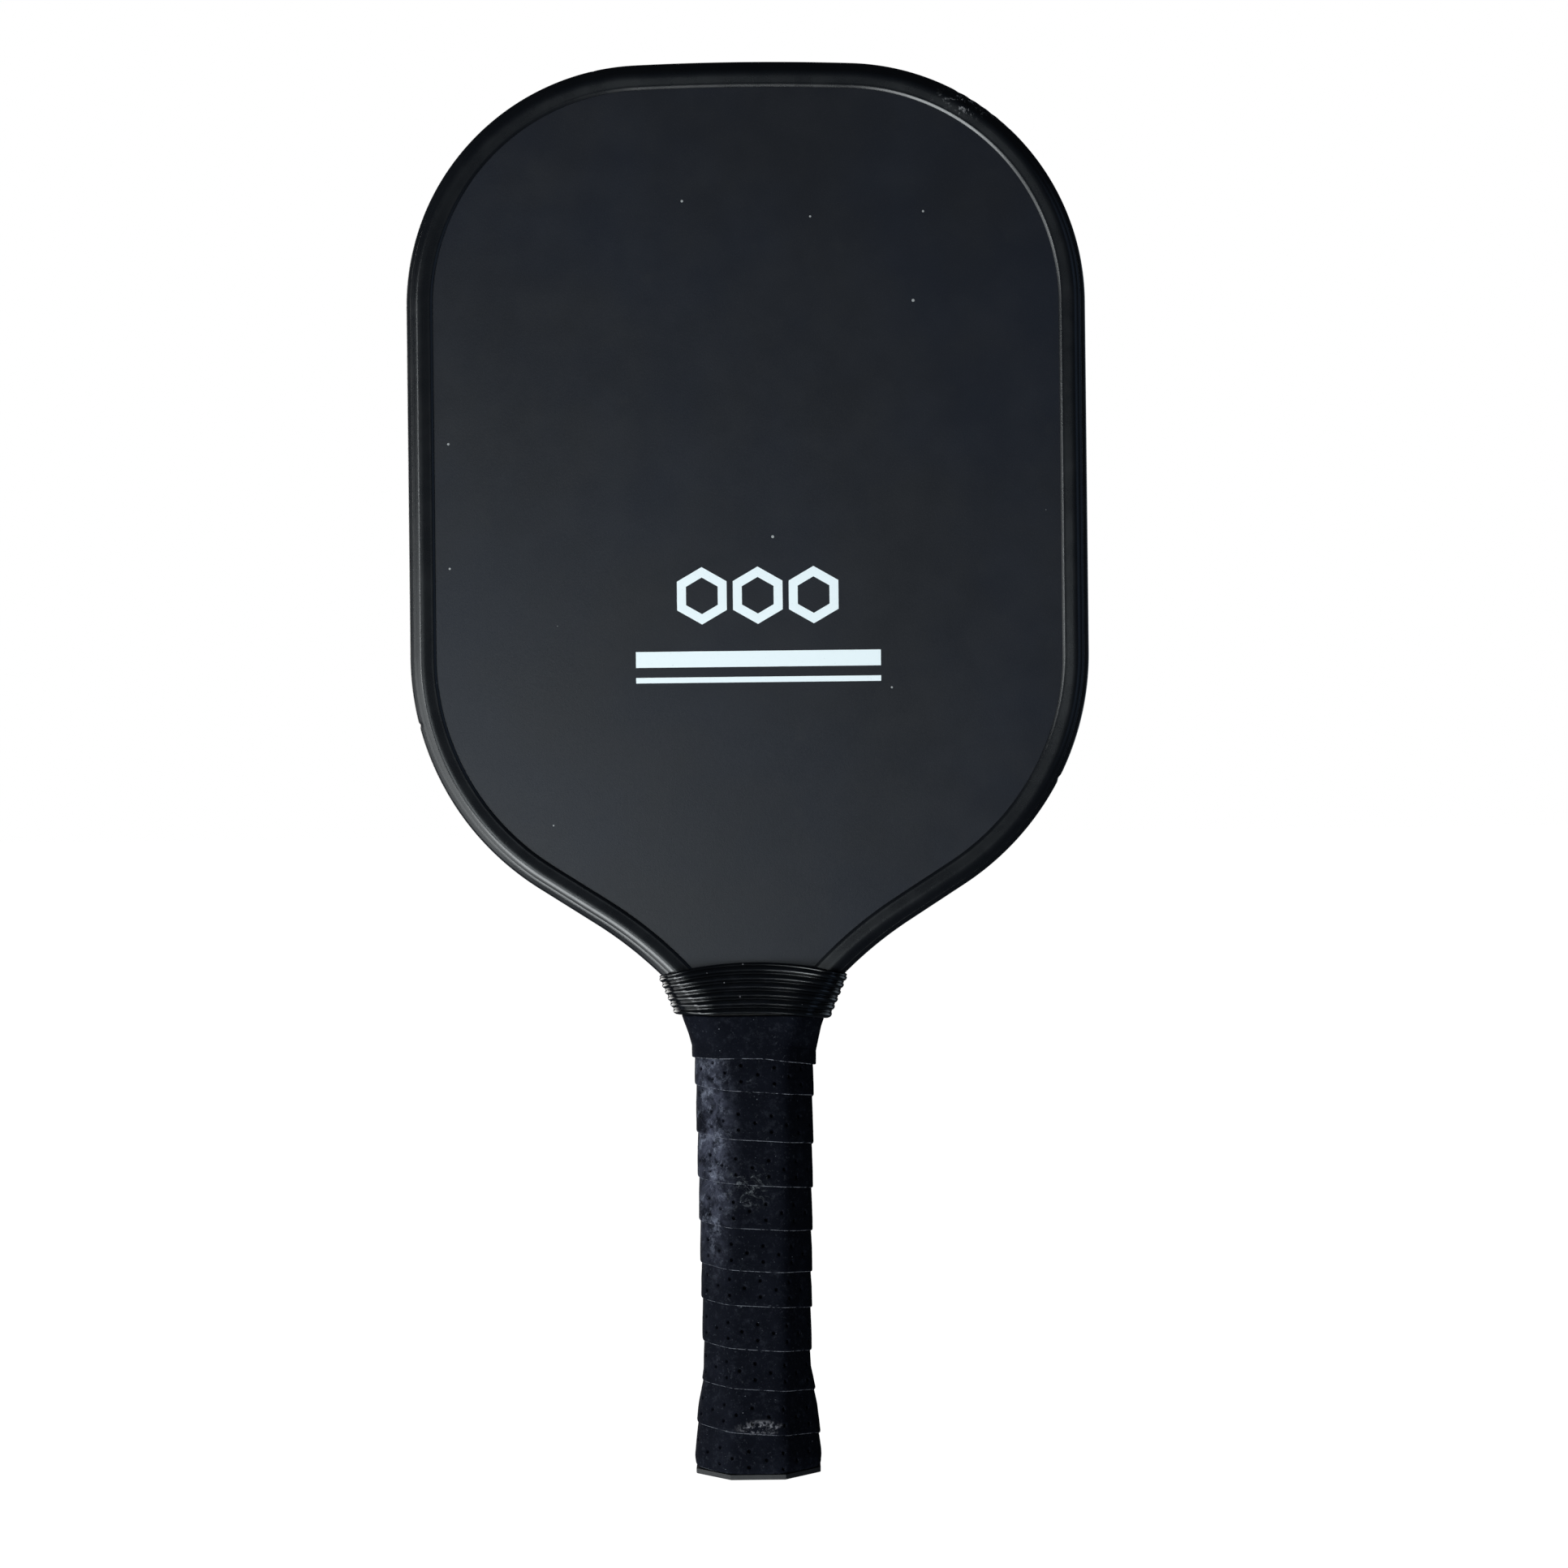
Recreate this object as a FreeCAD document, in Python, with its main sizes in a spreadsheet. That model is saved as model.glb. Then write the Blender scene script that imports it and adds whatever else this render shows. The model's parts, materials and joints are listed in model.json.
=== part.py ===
import FreeCAD, Part

"""Pickleball paddle as a parametric assembly of its separate pieces.

Frame: millimetres, +Z up along the handle to the tip of the head, +X across the blade, and the
front face towards -Y. The origin is the centre of the handle's end face. A honeycomb panel with a
scrim and a skin on each side runs from the tip of the head down into the handle. An edge guard is
taped round its rim. Two half-octagon pallets close on the panel's tang, a cap is tacked on their
lower end, and the cushioned grip, its finishing tape and a rubber collar go on last.
"""

import math
import os

import Sketcher
from FreeCAD import Vector

SIZES = {
    # Head outline, measured at the outside of the edge guard
    "paddle_length": 410.0,
    "head_width": 197.4,
    "crown_radius": 780.0,
    "corner_radius": 70.0,
    "side_end_level": 237.7,
    "lower_corner_radius": 80.0,
    "lower_corner_sweep": 57.35,
    "shoulder_length": 19.4,
    "throat_radius": 114.5,
    "throat_sweep": 15.35,
    # Panel layers, through the thickness
    "core_thickness": 12.6,
    "scrim_thickness": 0.2,
    "skin_thickness": 0.5,
    "cell_across_flats": 8.0,
    "cell_wall": 0.4,
    "core_rim_wall": 0.8,
    "core_least_cell": 6.0,
    "tang_width": 17.0,
    "tang_end_level": 5.0,
    # Printed mark: three hexagon rings over two bars
    "ink_thickness": 0.05,
    "mark_offset": 2.6,
    "hexagon_level": 254.8,
    "hexagon_across_flats": 14.4,
    "hexagon_stroke": 2.6,
    "hexagon_pitch": 16.2,
    "wide_bar_level": 236.4,
    "wide_bar_length": 71.0,
    "wide_bar_height": 4.6,
    "thin_bar_level": 230.4,
    "thin_bar_height": 1.6,
    # Edge guard and the tape under it
    "rim_tape_thickness": 0.2,
    "rim_tape_margin": 0.4,
    "guard_web": 1.5,
    "guard_lap": 8.0,
    "guard_side_half": 4.0,
    "guard_shoulder_half": 5.9,
    "guard_shoulder_depth": 0.7,
    "guard_cheek_half": 7.3,
    "guard_cheek_depth": 2.0,
    "guard_ridge_rise": 1.1,
    "guard_ridge_depth": 3.7,
    "guard_lip_rise": 0.65,
    "guard_lip_round": 0.6,
    "guard_lip_foot": 0.15,
    # Outside of the grip: an octagon at each level, with 45 degree bevels. Each depth is beyond the
    # panel's thickness. Each width is beyond the tang's, except at the grip's top, where the handle
    # meets the throat and the width is whole
    "butt_edge_level": 1.6,
    "butt_edge_width": 19.4,
    "butt_edge_depth": 16.2,
    "butt_swell_level": 5.0,
    "butt_swell_width": 20.4,
    "butt_swell_depth": 17.0,
    "butt_neck_level": 19.0,
    "butt_neck_width": 18.3,
    "butt_neck_depth": 15.6,
    "butt_bevel": 10.2,
    "grip_low_level": 30.0,
    "grip_low_width": 14.8,
    "grip_low_depth": 13.6,
    "grip_high_level": 119.5,
    "grip_high_width": 18.1,
    "grip_high_depth": 14.0,
    "flare_level": 124.7,
    "flare_width": 18.3,
    "flare_depth": 14.2,
    "grip_top_level": 133.5,
    "grip_top_width": 40.6,
    "grip_top_depth": 14.4,
    "grip_bevel": 8.0,
    "grip_thickness": 1.9,
    "wrap_gap": 0.1,
    # Handle pallets
    "pallet_top_level": 138.8,
    "pallet_top_width": 42.0,
    "pallet_tip_thickness": 1.2,
    "tang_gap": 0.1,
    "cap_wall": 1.5,
    "cap_gap": 0.1,
    # Butt cap and its badge
    "cap_floor": 3.0,
    "lip_height": 1.5,
    "lip_inset": 0.15,
    "lip_round": 0.5,
    "badge_diameter": 19.0,
    "badge_thickness": 0.5,
    "badge_recess": 0.6,
    "badge_gap": 0.1,
    # Tacks that hold the cap
    "tack_level": 12.0,
    "tack_head_diameter": 5.0,
    "tack_head_thickness": 0.5,
    "tack_head_sink": 0.4,
    "tack_shank_diameter": 1.2,
    "tack_shank_length": 4.6,
    "tack_gap": 0.05,
    # Finishing tape and rubber collar. The collar's depths are beyond the panel's thickness
    "finish_tape_gap": 0.05,
    "finish_tape_thickness": 0.45,
    "collar_low_level": 130.0,
    "collar_low_width": 42.8,
    "collar_low_depth": 22.6,
    "collar_low_bevel": 9.5,
    "collar_high_level": 150.0,
    "collar_high_width": 60.4,
    "collar_high_depth": 1.1,
    "collar_high_bevel": 3.0,
    "collar_thickness": 1.0,
    "collar_top_crest": 148.4,
    "collar_top_radius": 98.0,
    "collar_bottom_crest": 134.2,
    "collar_bottom_radius": 113.0,
}

PANEL_HALF = "(Sizes.core_thickness / 2 + Sizes.scrim_thickness + Sizes.skin_thickness)"
THROAT_OCTAGONS = ("grip_top", "collar_low", "collar_high")
RIM_INSET = "(Sizes.guard_web + Sizes.rim_tape_thickness)"
BEVEL_OFFSET = "(2 - sqrt(2))"  # what a 45 degree bevel loses for each unit of inward offset

doc = FreeCAD.newDocument("pickleball_paddle")
sheet = doc.addObject("Spreadsheet::Sheet", "Sizes")


def fill_sheet():
    for row, (name, value) in enumerate(SIZES.items(), start=1):
        sheet.set(f"A{row}", name)
        sheet.set(f"B{row}", str(value))
        sheet.setAlias(f"B{row}", name)
    doc.recompute()


def number(expression):
    """The present value of an expression of the sheet's sizes."""
    return float(sheet.evalExpression(expression))


# Sketch helpers: every size in a sketch is a named constraint bound to the sheet.


def new_body(label):
    body = doc.addObject("PartDesign::Body", label)
    body.Label = label
    return body


def new_sketch(body, name, plane, offset="0"):
    """A sketch on one of the body's origin planes, moved along the plane's normal by offset."""
    sketch = body.newObject("Sketcher::SketchObject", name)
    support = [feature for feature in body.Origin.OriginFeatures if feature.Role == plane]
    sketch.AttachmentSupport = [(support[0], "")]
    sketch.MapMode = "FlatFace"
    sketch.setExpression("AttachmentOffset.Base.z", offset)
    return sketch


def bind(sketch, kind, places, expression, unit=""):
    """Add a dimension whose value follows an expression."""
    value = number(expression)
    if unit:
        value = math.radians(value)
        expression = f"({expression}) * 1 {unit}"
    index = sketch.addConstraint(Sketcher.Constraint(kind, *places, value))
    name = f"size_{index}"
    sketch.renameConstraint(index, name)
    sketch.setExpression(f"Constraints.{name}", expression)


def polygon(sketch, corners):
    """A closed polygon; each corner is a pair of expressions."""
    places = [Vector(number(across), number(up), 0) for across, up in corners]
    first = sketch.GeometryCount
    count = len(places)
    for here, there in zip(places, places[1:] + places[:1]):
        sketch.addGeometry(Part.LineSegment(here, there), False)
    for index, (across, up) in enumerate(corners):
        line = first + index
        following = first + (index + 1) % count
        sketch.addConstraint(Sketcher.Constraint("Coincident", line, 2, following, 1))
        bind(sketch, "DistanceX", (-1, 1, line, 1), across)
        bind(sketch, "DistanceY", (-1, 1, line, 1), up)


def circle(sketch, across, up, radius):
    """A circle; its centre and radius are expressions."""
    centre = Vector(number(across), number(up), 0)
    shape = Part.Circle(centre, Vector(0, 0, 1), number(radius))
    index = sketch.addGeometry(shape, False)
    bind(sketch, "DistanceX", (-1, 1, index, 3), across)
    bind(sketch, "DistanceY", (-1, 1, index, 3), up)
    bind(sketch, "Radius", (index,), radius)


def pad(body, sketch, length, name, toward_rear=False):
    """Pad a sketch; an XZ sketch grows towards -Y, or towards +Y with toward_rear."""
    feature = body.newObject("PartDesign::Pad", name)
    feature.Profile = sketch
    feature.setExpression("Length", length)
    feature.Reversed = toward_rear
    return feature


def pocket(body, sketch, length, name, reverse=False):
    feature = body.newObject("PartDesign::Pocket", name)
    feature.Profile = sketch
    feature.setExpression("Length", length)
    feature.Reversed = reverse
    return feature


def pocket_through(body, sketch, name):
    """Cut a sketch through everything on both sides of its plane."""
    feature = body.newObject("PartDesign::Pocket", name)
    feature.Profile = sketch
    feature.Type = "ThroughAll"
    feature.Midplane = True
    return feature


def loft(body, kind, sections, name):
    feature = body.newObject(kind, name)
    feature.Profile = sections[0]
    feature.Sections = sections[1:]
    feature.Ruled = True
    return feature


# Outline of the panel: half of it is a chain of arcs and lines from the crown to the tang.


def outline_numbers(inset):
    """Centres and angles of the outline's right half, moved inwards by inset."""
    length = number("Sizes.paddle_length")
    half_width = number("Sizes.head_width / 2")
    crown = number("Sizes.crown_radius")
    corner = number("Sizes.corner_radius")
    lower = number("Sizes.lower_corner_radius")
    throat = number("Sizes.throat_radius")
    side_end = number("Sizes.side_end_level")
    sweep = math.radians(number("Sizes.lower_corner_sweep"))
    throat_end = math.pi - sweep + math.radians(number("Sizes.throat_sweep"))

    crown_centre = Vector(0, length - crown, 0)
    corner_across = half_width - corner
    corner_up = crown_centre.y + math.sqrt((crown - corner) ** 2 - corner_across**2)
    corner_centre = Vector(corner_across, corner_up, 0)
    crown_end = math.atan2(corner_up - crown_centre.y, corner_across)
    lower_centre = Vector(half_width - lower, side_end, 0)
    outward = Vector(math.cos(sweep), -math.sin(sweep), 0)
    along = Vector(-math.sin(sweep), -math.cos(sweep), 0)
    shoulder_start = lower_centre + outward * (lower - inset)
    shoulder_end = shoulder_start + along * number("Sizes.shoulder_length")
    throat_centre = shoulder_end + outward * (throat + inset)
    return {
        "crown": (crown_centre, crown - inset, crown_end),
        "corner": (corner_centre, corner - inset, crown_end),
        "side": (half_width - inset, corner_up, side_end),
        "lower": (lower_centre, lower - inset, sweep),
        "shoulder": (shoulder_start, shoulder_end),
        "throat": (throat_centre, throat + inset, math.pi - sweep, throat_end),
    }


def mirrored(point):
    return Vector(-point.x, point.y, 0)


def add_line(sketch, start, end, right):
    """A line of the chain. Returns its number and the positions of its near and far ends."""
    if not right:
        start, end = mirrored(start), mirrored(end)
    return sketch.addGeometry(Part.LineSegment(start, end), False), 1, 2


def add_arc(sketch, centre, radius, near_angle, far_angle, right):
    """An arc of the chain. Returns its number and the positions of its near and far ends."""
    if not right:
        centre = mirrored(centre)
        near_angle, far_angle = math.pi - near_angle, math.pi - far_angle
    turns_left = far_angle > near_angle
    low, high = sorted((near_angle, far_angle))
    whole = Part.Circle(centre, Vector(0, 0, 1), radius)
    index = sketch.addGeometry(Part.ArcOfCircle(whole, low, high), False)
    return (index, 1, 2) if turns_left else (index, 2, 1)


def across(sketch, place, distance, right):
    """Fix how far a point lies from the middle plane, on its own side."""
    ends = (-1, 1, *place) if right else (*place, -1, 1)
    bind(sketch, "DistanceX", ends, distance)


def join(sketch, near_piece, far_piece):
    """Make the next piece of the chain leave the last one along its tangent."""
    ends = (near_piece[0], near_piece[2], far_piece[0], far_piece[1])
    sketch.addConstraint(Sketcher.Constraint("Tangent", *ends))


def add_head_side(sketch, inset, right):
    """The chain from the crown's end to the throat's end, on one side."""
    numbers = outline_numbers(number(inset))
    corner_centre, corner_radius, crown_end = numbers["corner"]
    side_across, side_top, side_end = numbers["side"]
    lower_centre, lower_radius, sweep = numbers["lower"]
    throat_centre, throat_radius, throat_start, throat_end = numbers["throat"]

    corner = add_arc(sketch, corner_centre, corner_radius, crown_end, 0, right)
    top, end = Vector(side_across, side_top, 0), Vector(side_across, side_end, 0)
    side = add_line(sketch, top, end, right)
    lower = add_arc(sketch, lower_centre, lower_radius, 0, -sweep, right)
    shoulder = add_line(sketch, *numbers["shoulder"], right)
    throat = add_arc(sketch, throat_centre, throat_radius, throat_start, throat_end, right)
    chain = [corner, side, lower, shoulder, throat]
    for near_piece, far_piece in zip(chain, chain[1:]):
        join(sketch, near_piece, far_piece)

    bind(sketch, "Radius", (corner[0],), f"Sizes.corner_radius - {inset}")
    across(sketch, (side[0], side[1]), f"Sizes.head_width / 2 - {inset}", right)
    sketch.addConstraint(Sketcher.Constraint("Vertical", side[0]))
    bind(sketch, "DistanceY", (-1, 1, side[0], side[2]), "Sizes.side_end_level")
    bind(sketch, "Radius", (lower[0],), f"Sizes.lower_corner_radius - {inset}")
    bind(sketch, "Angle", (lower[0],), "Sizes.lower_corner_sweep", "deg")
    bind(sketch, "Distance", (shoulder[0],), "Sizes.shoulder_length")
    bind(sketch, "Radius", (throat[0],), f"Sizes.throat_radius + {inset}")
    bind(sketch, "Angle", (throat[0],), "Sizes.throat_sweep", "deg")
    return chain


def size_crown(sketch, crown, inset):
    sketch.addConstraint(Sketcher.Constraint("PointOnObject", crown, 3, -2))
    bind(sketch, "Radius", (crown,), f"Sizes.crown_radius - {inset}")
    bind(sketch, "DistanceY", (crown, 3, -1, 1), "Sizes.crown_radius - Sizes.paddle_length")


def add_tang_side(sketch, throat, inset, half_width, end_level, right):
    """The neck arc and the tang's straight edge, from the throat's end down."""
    numbers = outline_numbers(number(inset))
    throat_centre, throat_radius, _, throat_end = numbers["throat"]
    edge = number(half_width)
    inwards = Vector(math.cos(throat_end), math.sin(throat_end), 0)
    throat_foot = throat_centre + inwards * throat_radius
    neck_radius = (throat_foot.x - edge) / (1 + math.cos(throat_end))
    neck_centre = throat_foot - inwards * neck_radius
    neck = add_arc(sketch, neck_centre, neck_radius, throat_end, math.pi, right)
    top, end = Vector(edge, neck_centre.y, 0), Vector(edge, number(end_level), 0)
    tang = add_line(sketch, top, end, right)
    join(sketch, throat, neck)
    join(sketch, neck, tang)
    sketch.addConstraint(Sketcher.Constraint("Vertical", tang[0]))
    across(sketch, (tang[0], tang[2]), half_width, right)
    return tang


def panel_outline(sketch, gap="0"):
    """The whole outline of the panel, tang included, grown outwards by gap."""
    inset = f"({RIM_INSET} - {gap})"
    half_width = f"(Sizes.tang_width / 2 + {gap})"
    end_level = f"(Sizes.tang_end_level - {gap})"
    centre, radius, crown_end = outline_numbers(number(inset))["crown"]
    whole = Part.Circle(centre, Vector(0, 0, 1), radius)
    arc = Part.ArcOfCircle(whole, crown_end, math.pi - crown_end)
    crown = sketch.addGeometry(arc, False)
    size_crown(sketch, crown, inset)
    feet = []
    for right, crown_position in ((True, 1), (False, 2)):
        chain = add_head_side(sketch, inset, right)
        join(sketch, (crown, 0, crown_position), chain[0])
        tang = add_tang_side(sketch, chain[-1], inset, half_width, end_level, right)
        feet.append((tang[0], tang[2]))
    start, end = (Vector(side * number(half_width), number(end_level), 0) for side in (1, -1))
    foot = sketch.addGeometry(Part.LineSegment(start, end), False)
    sketch.addConstraint(Sketcher.Constraint("Coincident", *feet[0], foot, 1))
    sketch.addConstraint(Sketcher.Constraint("Coincident", *feet[1], foot, 2))
    sketch.addConstraint(Sketcher.Constraint("Horizontal", foot))
    bind(sketch, "DistanceY", (-1, 1, foot, 1), end_level)


def guard_path(sketch, inset):
    """The right half of the rim's path, from the top of the crown to the throat's end."""
    centre, radius, crown_end = outline_numbers(number(inset))["crown"]
    crown = add_arc(sketch, centre, radius, math.pi / 2, crown_end, True)
    size_crown(sketch, crown[0], inset)
    sketch.addConstraint(Sketcher.Constraint("PointOnObject", crown[0], crown[1], -2))
    chain = add_head_side(sketch, inset, True)
    join(sketch, crown, chain[0])


def sweep_round_rim(body, section, inset):
    """Sweep a section at the top of the crown down the right side, then mirror it."""
    path = new_sketch(body, "rim_path", "XZ_Plane")
    guard_path(path, inset)
    pipe = body.newObject("PartDesign::AdditivePipe", "right_half")
    pipe.Profile = section
    pipe.Spine = (path, [""])
    mirror = body.newObject("PartDesign::Mirrored", "both_halves")
    mirror.Originals = [pipe]
    planes = [feature for feature in body.Origin.OriginFeatures if feature.Role == "YZ_Plane"]
    mirror.MirrorPlane = (planes[0], [""])
    body.Tip = mirror


# Octagonal sections of the handle, its cap, its grip and its collar.


def octagon_half_width(name):
    """Half the width over a named octagon: whole at the throat, and beyond the tang below it."""
    within = "0" if name in THROAT_OCTAGONS else "Sizes.tang_width / 2"
    return f"({within} + Sizes.{name}_width / 2)"


def octagon_half_depth(name):
    """Half the depth over a named octagon, which is beyond the panel's thickness."""
    return f"({PANEL_HALF} + Sizes.{name}_depth / 2)"


def station(name, bevel, inward, level=None):
    """Expressions for an octagon of the grip at a named level, moved inwards by inward."""
    return {
        "level": level or f"Sizes.{name}_level",
        "half_width": f"({octagon_half_width(name)} - {inward})",
        "half_depth": f"({octagon_half_depth(name)} - {inward})",
        "bevel": f"(Sizes.{bevel} - {inward} * {BEVEL_OFFSET})",
    }


def octagon_corners(place):
    """The eight corners, starting at the middle of the -X side and going by the front."""
    wide, deep, bevel = place["half_width"], place["half_depth"], place["bevel"]
    front_left = [(f"-{wide}", f"{bevel} - {deep}"), (f"{bevel} - {wide}", f"-{deep}")]
    front_right = [(f"{wide} - {bevel}", f"-{deep}"), (wide, f"{bevel} - {deep}")]
    rear_right = [(wide, f"{deep} - {bevel}"), (f"{wide} - {bevel}", deep)]
    rear_left = [(f"{bevel} - {wide}", deep), (f"-{wide}", f"{deep} - {bevel}")]
    return front_left, front_right, rear_right, rear_left


def octagon(body, name, place):
    sketch = new_sketch(body, name, "XY_Plane", place["level"])
    polygon(sketch, sum(octagon_corners(place), []))
    return sketch


def half_octagon(body, name, place, rear):
    """The half of an octagon in front of the middle plane, or behind it."""
    sketch = new_sketch(body, name, "XY_Plane", place["level"])
    front_left, front_right, rear_right, rear_left = octagon_corners(place)
    left_foot, right_foot = (f"-{place['half_width']}", "0"), (place["half_width"], "0")
    if rear:
        polygon(sketch, [right_foot, *rear_right, *rear_left, left_foot])
    else:
        polygon(sketch, [left_foot, *front_left, *front_right, right_foot])
    return sketch


def octagon_sleeve(body, outer, inner):
    """A ruled loft through the outer octagons, less one through the inner ones."""
    outside = [octagon(body, f"outside_{i}", place) for i, place in enumerate(outer)]
    loft(body, "PartDesign::AdditiveLoft", outside, "outer_loft")
    inside = [octagon(body, f"inside_{i}", place) for i, place in enumerate(inner)]
    loft(body, "PartDesign::SubtractiveLoft", inside, "inner_loft")


def grip_stations(inward, names):
    bevels = {"butt_edge": "butt_bevel", "butt_swell": "butt_bevel", "butt_neck": "butt_bevel"}
    return [station(name, bevels.get(name, "grip_bevel"), inward) for name in names]


# The panel


def flat_layer(label, start, thickness, rear):
    """One sheet of the panel, from start to start + thickness away from the middle plane."""
    body = new_body(label)
    offset = f"-{start}" if rear else start
    sketch = new_sketch(body, "outline", "XZ_Plane", offset)
    panel_outline(sketch)
    pad(body, sketch, thickness, "sheet", rear)
    return body


def scrim(rear):
    label = "rear_scrim" if rear else "front_scrim"
    return flat_layer(label, "(Sizes.core_thickness / 2)", "Sizes.scrim_thickness", rear)


def face_sheet(rear):
    label = "rear_face_sheet" if rear else "front_face_sheet"
    start = "(Sizes.core_thickness / 2 + Sizes.scrim_thickness)"
    return flat_layer(label, start, "Sizes.skin_thickness", rear)


def hexagon_corners(across, up, across_flats):
    """The six corners of a hexagon with a corner at its top."""
    radius = across_flats / math.sqrt(3)
    angles = [math.radians(90 + 60 * turn) for turn in range(6)]
    return [Vector(across + radius * math.cos(a), up + radius * math.sin(a), 0) for a in angles]


def cell_wires(room):
    """The honeycomb's cells inside a face; those that its edge crosses are clipped to it."""
    pitch = number("Sizes.cell_across_flats")
    opening = pitch - number("Sizes.cell_wall")
    least = number("Sizes.core_least_cell")
    row_step = pitch * math.sqrt(3) / 2
    box = room.BoundBox
    wires = []
    for row in range(math.floor(box.YMin / row_step), math.ceil(box.YMax / row_step) + 1):
        shift = pitch / 2 if row % 2 else 0
        for column in range(math.floor(box.XMin / pitch), math.ceil(box.XMax / pitch) + 1):
            corners = hexagon_corners(column * pitch + shift, row * row_step, opening)
            wire = Part.makePolygon(corners + corners[:1])
            inside = [room.isInside(corner, 1e-6, True) for corner in corners]
            if all(inside):
                wires.append(wire)
            elif any(inside):
                clipped = room.common(Part.Face(wire))
                wires += [face.OuterWire for face in clipped.Faces if face.Area > least]
    return wires


def honeycomb_core():
    """An extruded face with a hole for each open cell, inside a closed rim."""
    plan = doc.addObject("Sketcher::SketchObject", "core_plan")
    panel_outline(plan)
    doc.recompute()
    outline = plan.Shape.Wires[0]
    room = Part.Face(outline.makeOffset2D(-number("Sizes.core_rim_wall")))
    face = Part.makeFace([outline, *cell_wires(room)], "Part::FaceMakerBullseye")
    core = doc.addObject("Part::Feature", "honeycomb_core")
    core.Label = "honeycomb_core"
    core.Shape = face.extrude(Vector(0, 0, number("Sizes.core_thickness")))
    core.Placement = FreeCAD.Placement(Vector(0, 0, 0), FreeCAD.Rotation(Vector(1, 0, 0), 90))
    core.setExpression("Placement.Base.y", "Sizes.core_thickness / 2")
    return core


# Printed mark


def hexagon_expressions(shift, across_flats):
    """The corners of a hexagon of the mark, as expressions."""
    middle = f"(Sizes.mark_offset + {shift} * Sizes.hexagon_pitch)"
    corners = []
    for turn in range(6):
        angle = f"{90 + 60 * turn} deg"
        reach = f"{across_flats} / sqrt(3)"
        corner_across = f"{middle} + {reach} * cos({angle})"
        corner_up = f"Sizes.hexagon_level + {reach} * sin({angle})"
        corners.append((corner_across, corner_up))
    return corners


def bar_expressions(level, height):
    """The corners of a level bar as long as the mark, as expressions."""
    left = "Sizes.mark_offset - Sizes.wide_bar_length / 2"
    right = "Sizes.mark_offset + Sizes.wide_bar_length / 2"
    bottom, top = f"{level} - {height} / 2", f"{level} + {height} / 2"
    return [(left, bottom), (right, bottom), (right, top), (left, top)]


def face_mark(rear):
    """Three hexagon rings over two bars, in a layer of ink on the face sheet."""
    body = new_body("rear_face_mark" if rear else "front_face_mark")
    body.AllowCompound = True
    offset = f"-{PANEL_HALF}" if rear else PANEL_HALF
    sketch = new_sketch(body, "artwork", "XZ_Plane", offset)
    inner_flats = "(Sizes.hexagon_across_flats - 2 * Sizes.hexagon_stroke)"
    for shift in (-1, 0, 1):
        polygon(sketch, hexagon_expressions(shift, "Sizes.hexagon_across_flats"))
        polygon(sketch, hexagon_expressions(shift, inner_flats))
    polygon(sketch, bar_expressions("Sizes.wide_bar_level", "Sizes.wide_bar_height"))
    polygon(sketch, bar_expressions("Sizes.thin_bar_level", "Sizes.thin_bar_height"))
    pad(body, sketch, "Sizes.ink_thickness", "ink", rear)
    return body


# Rim


def edge_tape():
    """A flat strip between the panel's rim and the guard's web."""
    body = new_body("edge_tape")
    section = new_sketch(body, "section", "YZ_Plane")
    half = f"({PANEL_HALF} - Sizes.rim_tape_margin)"
    bottom = f"Sizes.paddle_length - {RIM_INSET}"
    top = "Sizes.paddle_length - Sizes.guard_web"
    polygon(section, [(f"-{half}", bottom), (half, bottom), (half, top), (f"-{half}", top)])
    sweep_round_rim(body, section, RIM_INSET)
    return body


def guard_section():
    """The guard's channel section at the top of the crown, as (across, up) expressions."""
    top = "Sizes.paddle_length"
    face = PANEL_HALF
    lip_end = f"{top} - Sizes.guard_lap"
    right = [
        ("Sizes.guard_side_half", top),
        ("Sizes.guard_shoulder_half", f"{top} - Sizes.guard_shoulder_depth"),
        ("Sizes.guard_cheek_half", f"{top} - Sizes.guard_cheek_depth"),
        (f"({face} + Sizes.guard_ridge_rise)", f"{top} - Sizes.guard_ridge_depth"),
        (f"({face} + Sizes.guard_lip_rise)", f"{lip_end} + Sizes.guard_lip_round"),
        (f"({face} + Sizes.guard_lip_foot)", lip_end),
        (face, lip_end),
        (face, f"{top} - Sizes.guard_web"),
    ]
    left = [(f"-{across_}", up) for across_, up in reversed(right)]
    return right + left


def edge_guard():
    body = new_body("edge_guard")
    section = new_sketch(body, "section", "YZ_Plane")
    polygon(section, guard_section())
    sweep_round_rim(body, section, "0")
    return body


# Handle


def handle_pallet(rear):
    """Half of the handle: a half octagon with a channel for the tang and a rebate for the cap."""
    body = new_body("handle_pallet_rear" if rear else "handle_pallet_front")
    inward = "(Sizes.grip_thickness + Sizes.wrap_gap)"
    stations = grip_stations(inward, ["grip_low", "grip_high", "flare", "grip_top"])
    top = dict(stations[-1], level="Sizes.pallet_top_level", half_width="(Sizes.pallet_top_width / 2)")
    sections = [
        half_octagon(body, f"section_{i}", place, rear)
        for i, place in enumerate([*stations, top])
    ]
    loft(body, "PartDesign::AdditiveLoft", sections, "shank")
    foot = half_octagon(body, "foot_section", rebate_octagon("0"), rear)
    length = "Sizes.grip_low_level - Sizes.cap_floor - Sizes.cap_gap"
    pad(body, foot, length, "foot", toward_rear=True)
    cut_tang_channel(body, rear)
    cut_ramp(body, rear)
    cut_tack_hole(body, rear)
    return body


def rebate_octagon(grow, level="Sizes.grip_low_level"):
    """The pallets' reduced octagon inside the cap, grown outwards by grow."""
    inward = f"(Sizes.grip_thickness + Sizes.wrap_gap + Sizes.cap_wall + Sizes.cap_gap - {grow})"
    return station("grip_low", "grip_bevel", inward, level)


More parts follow.
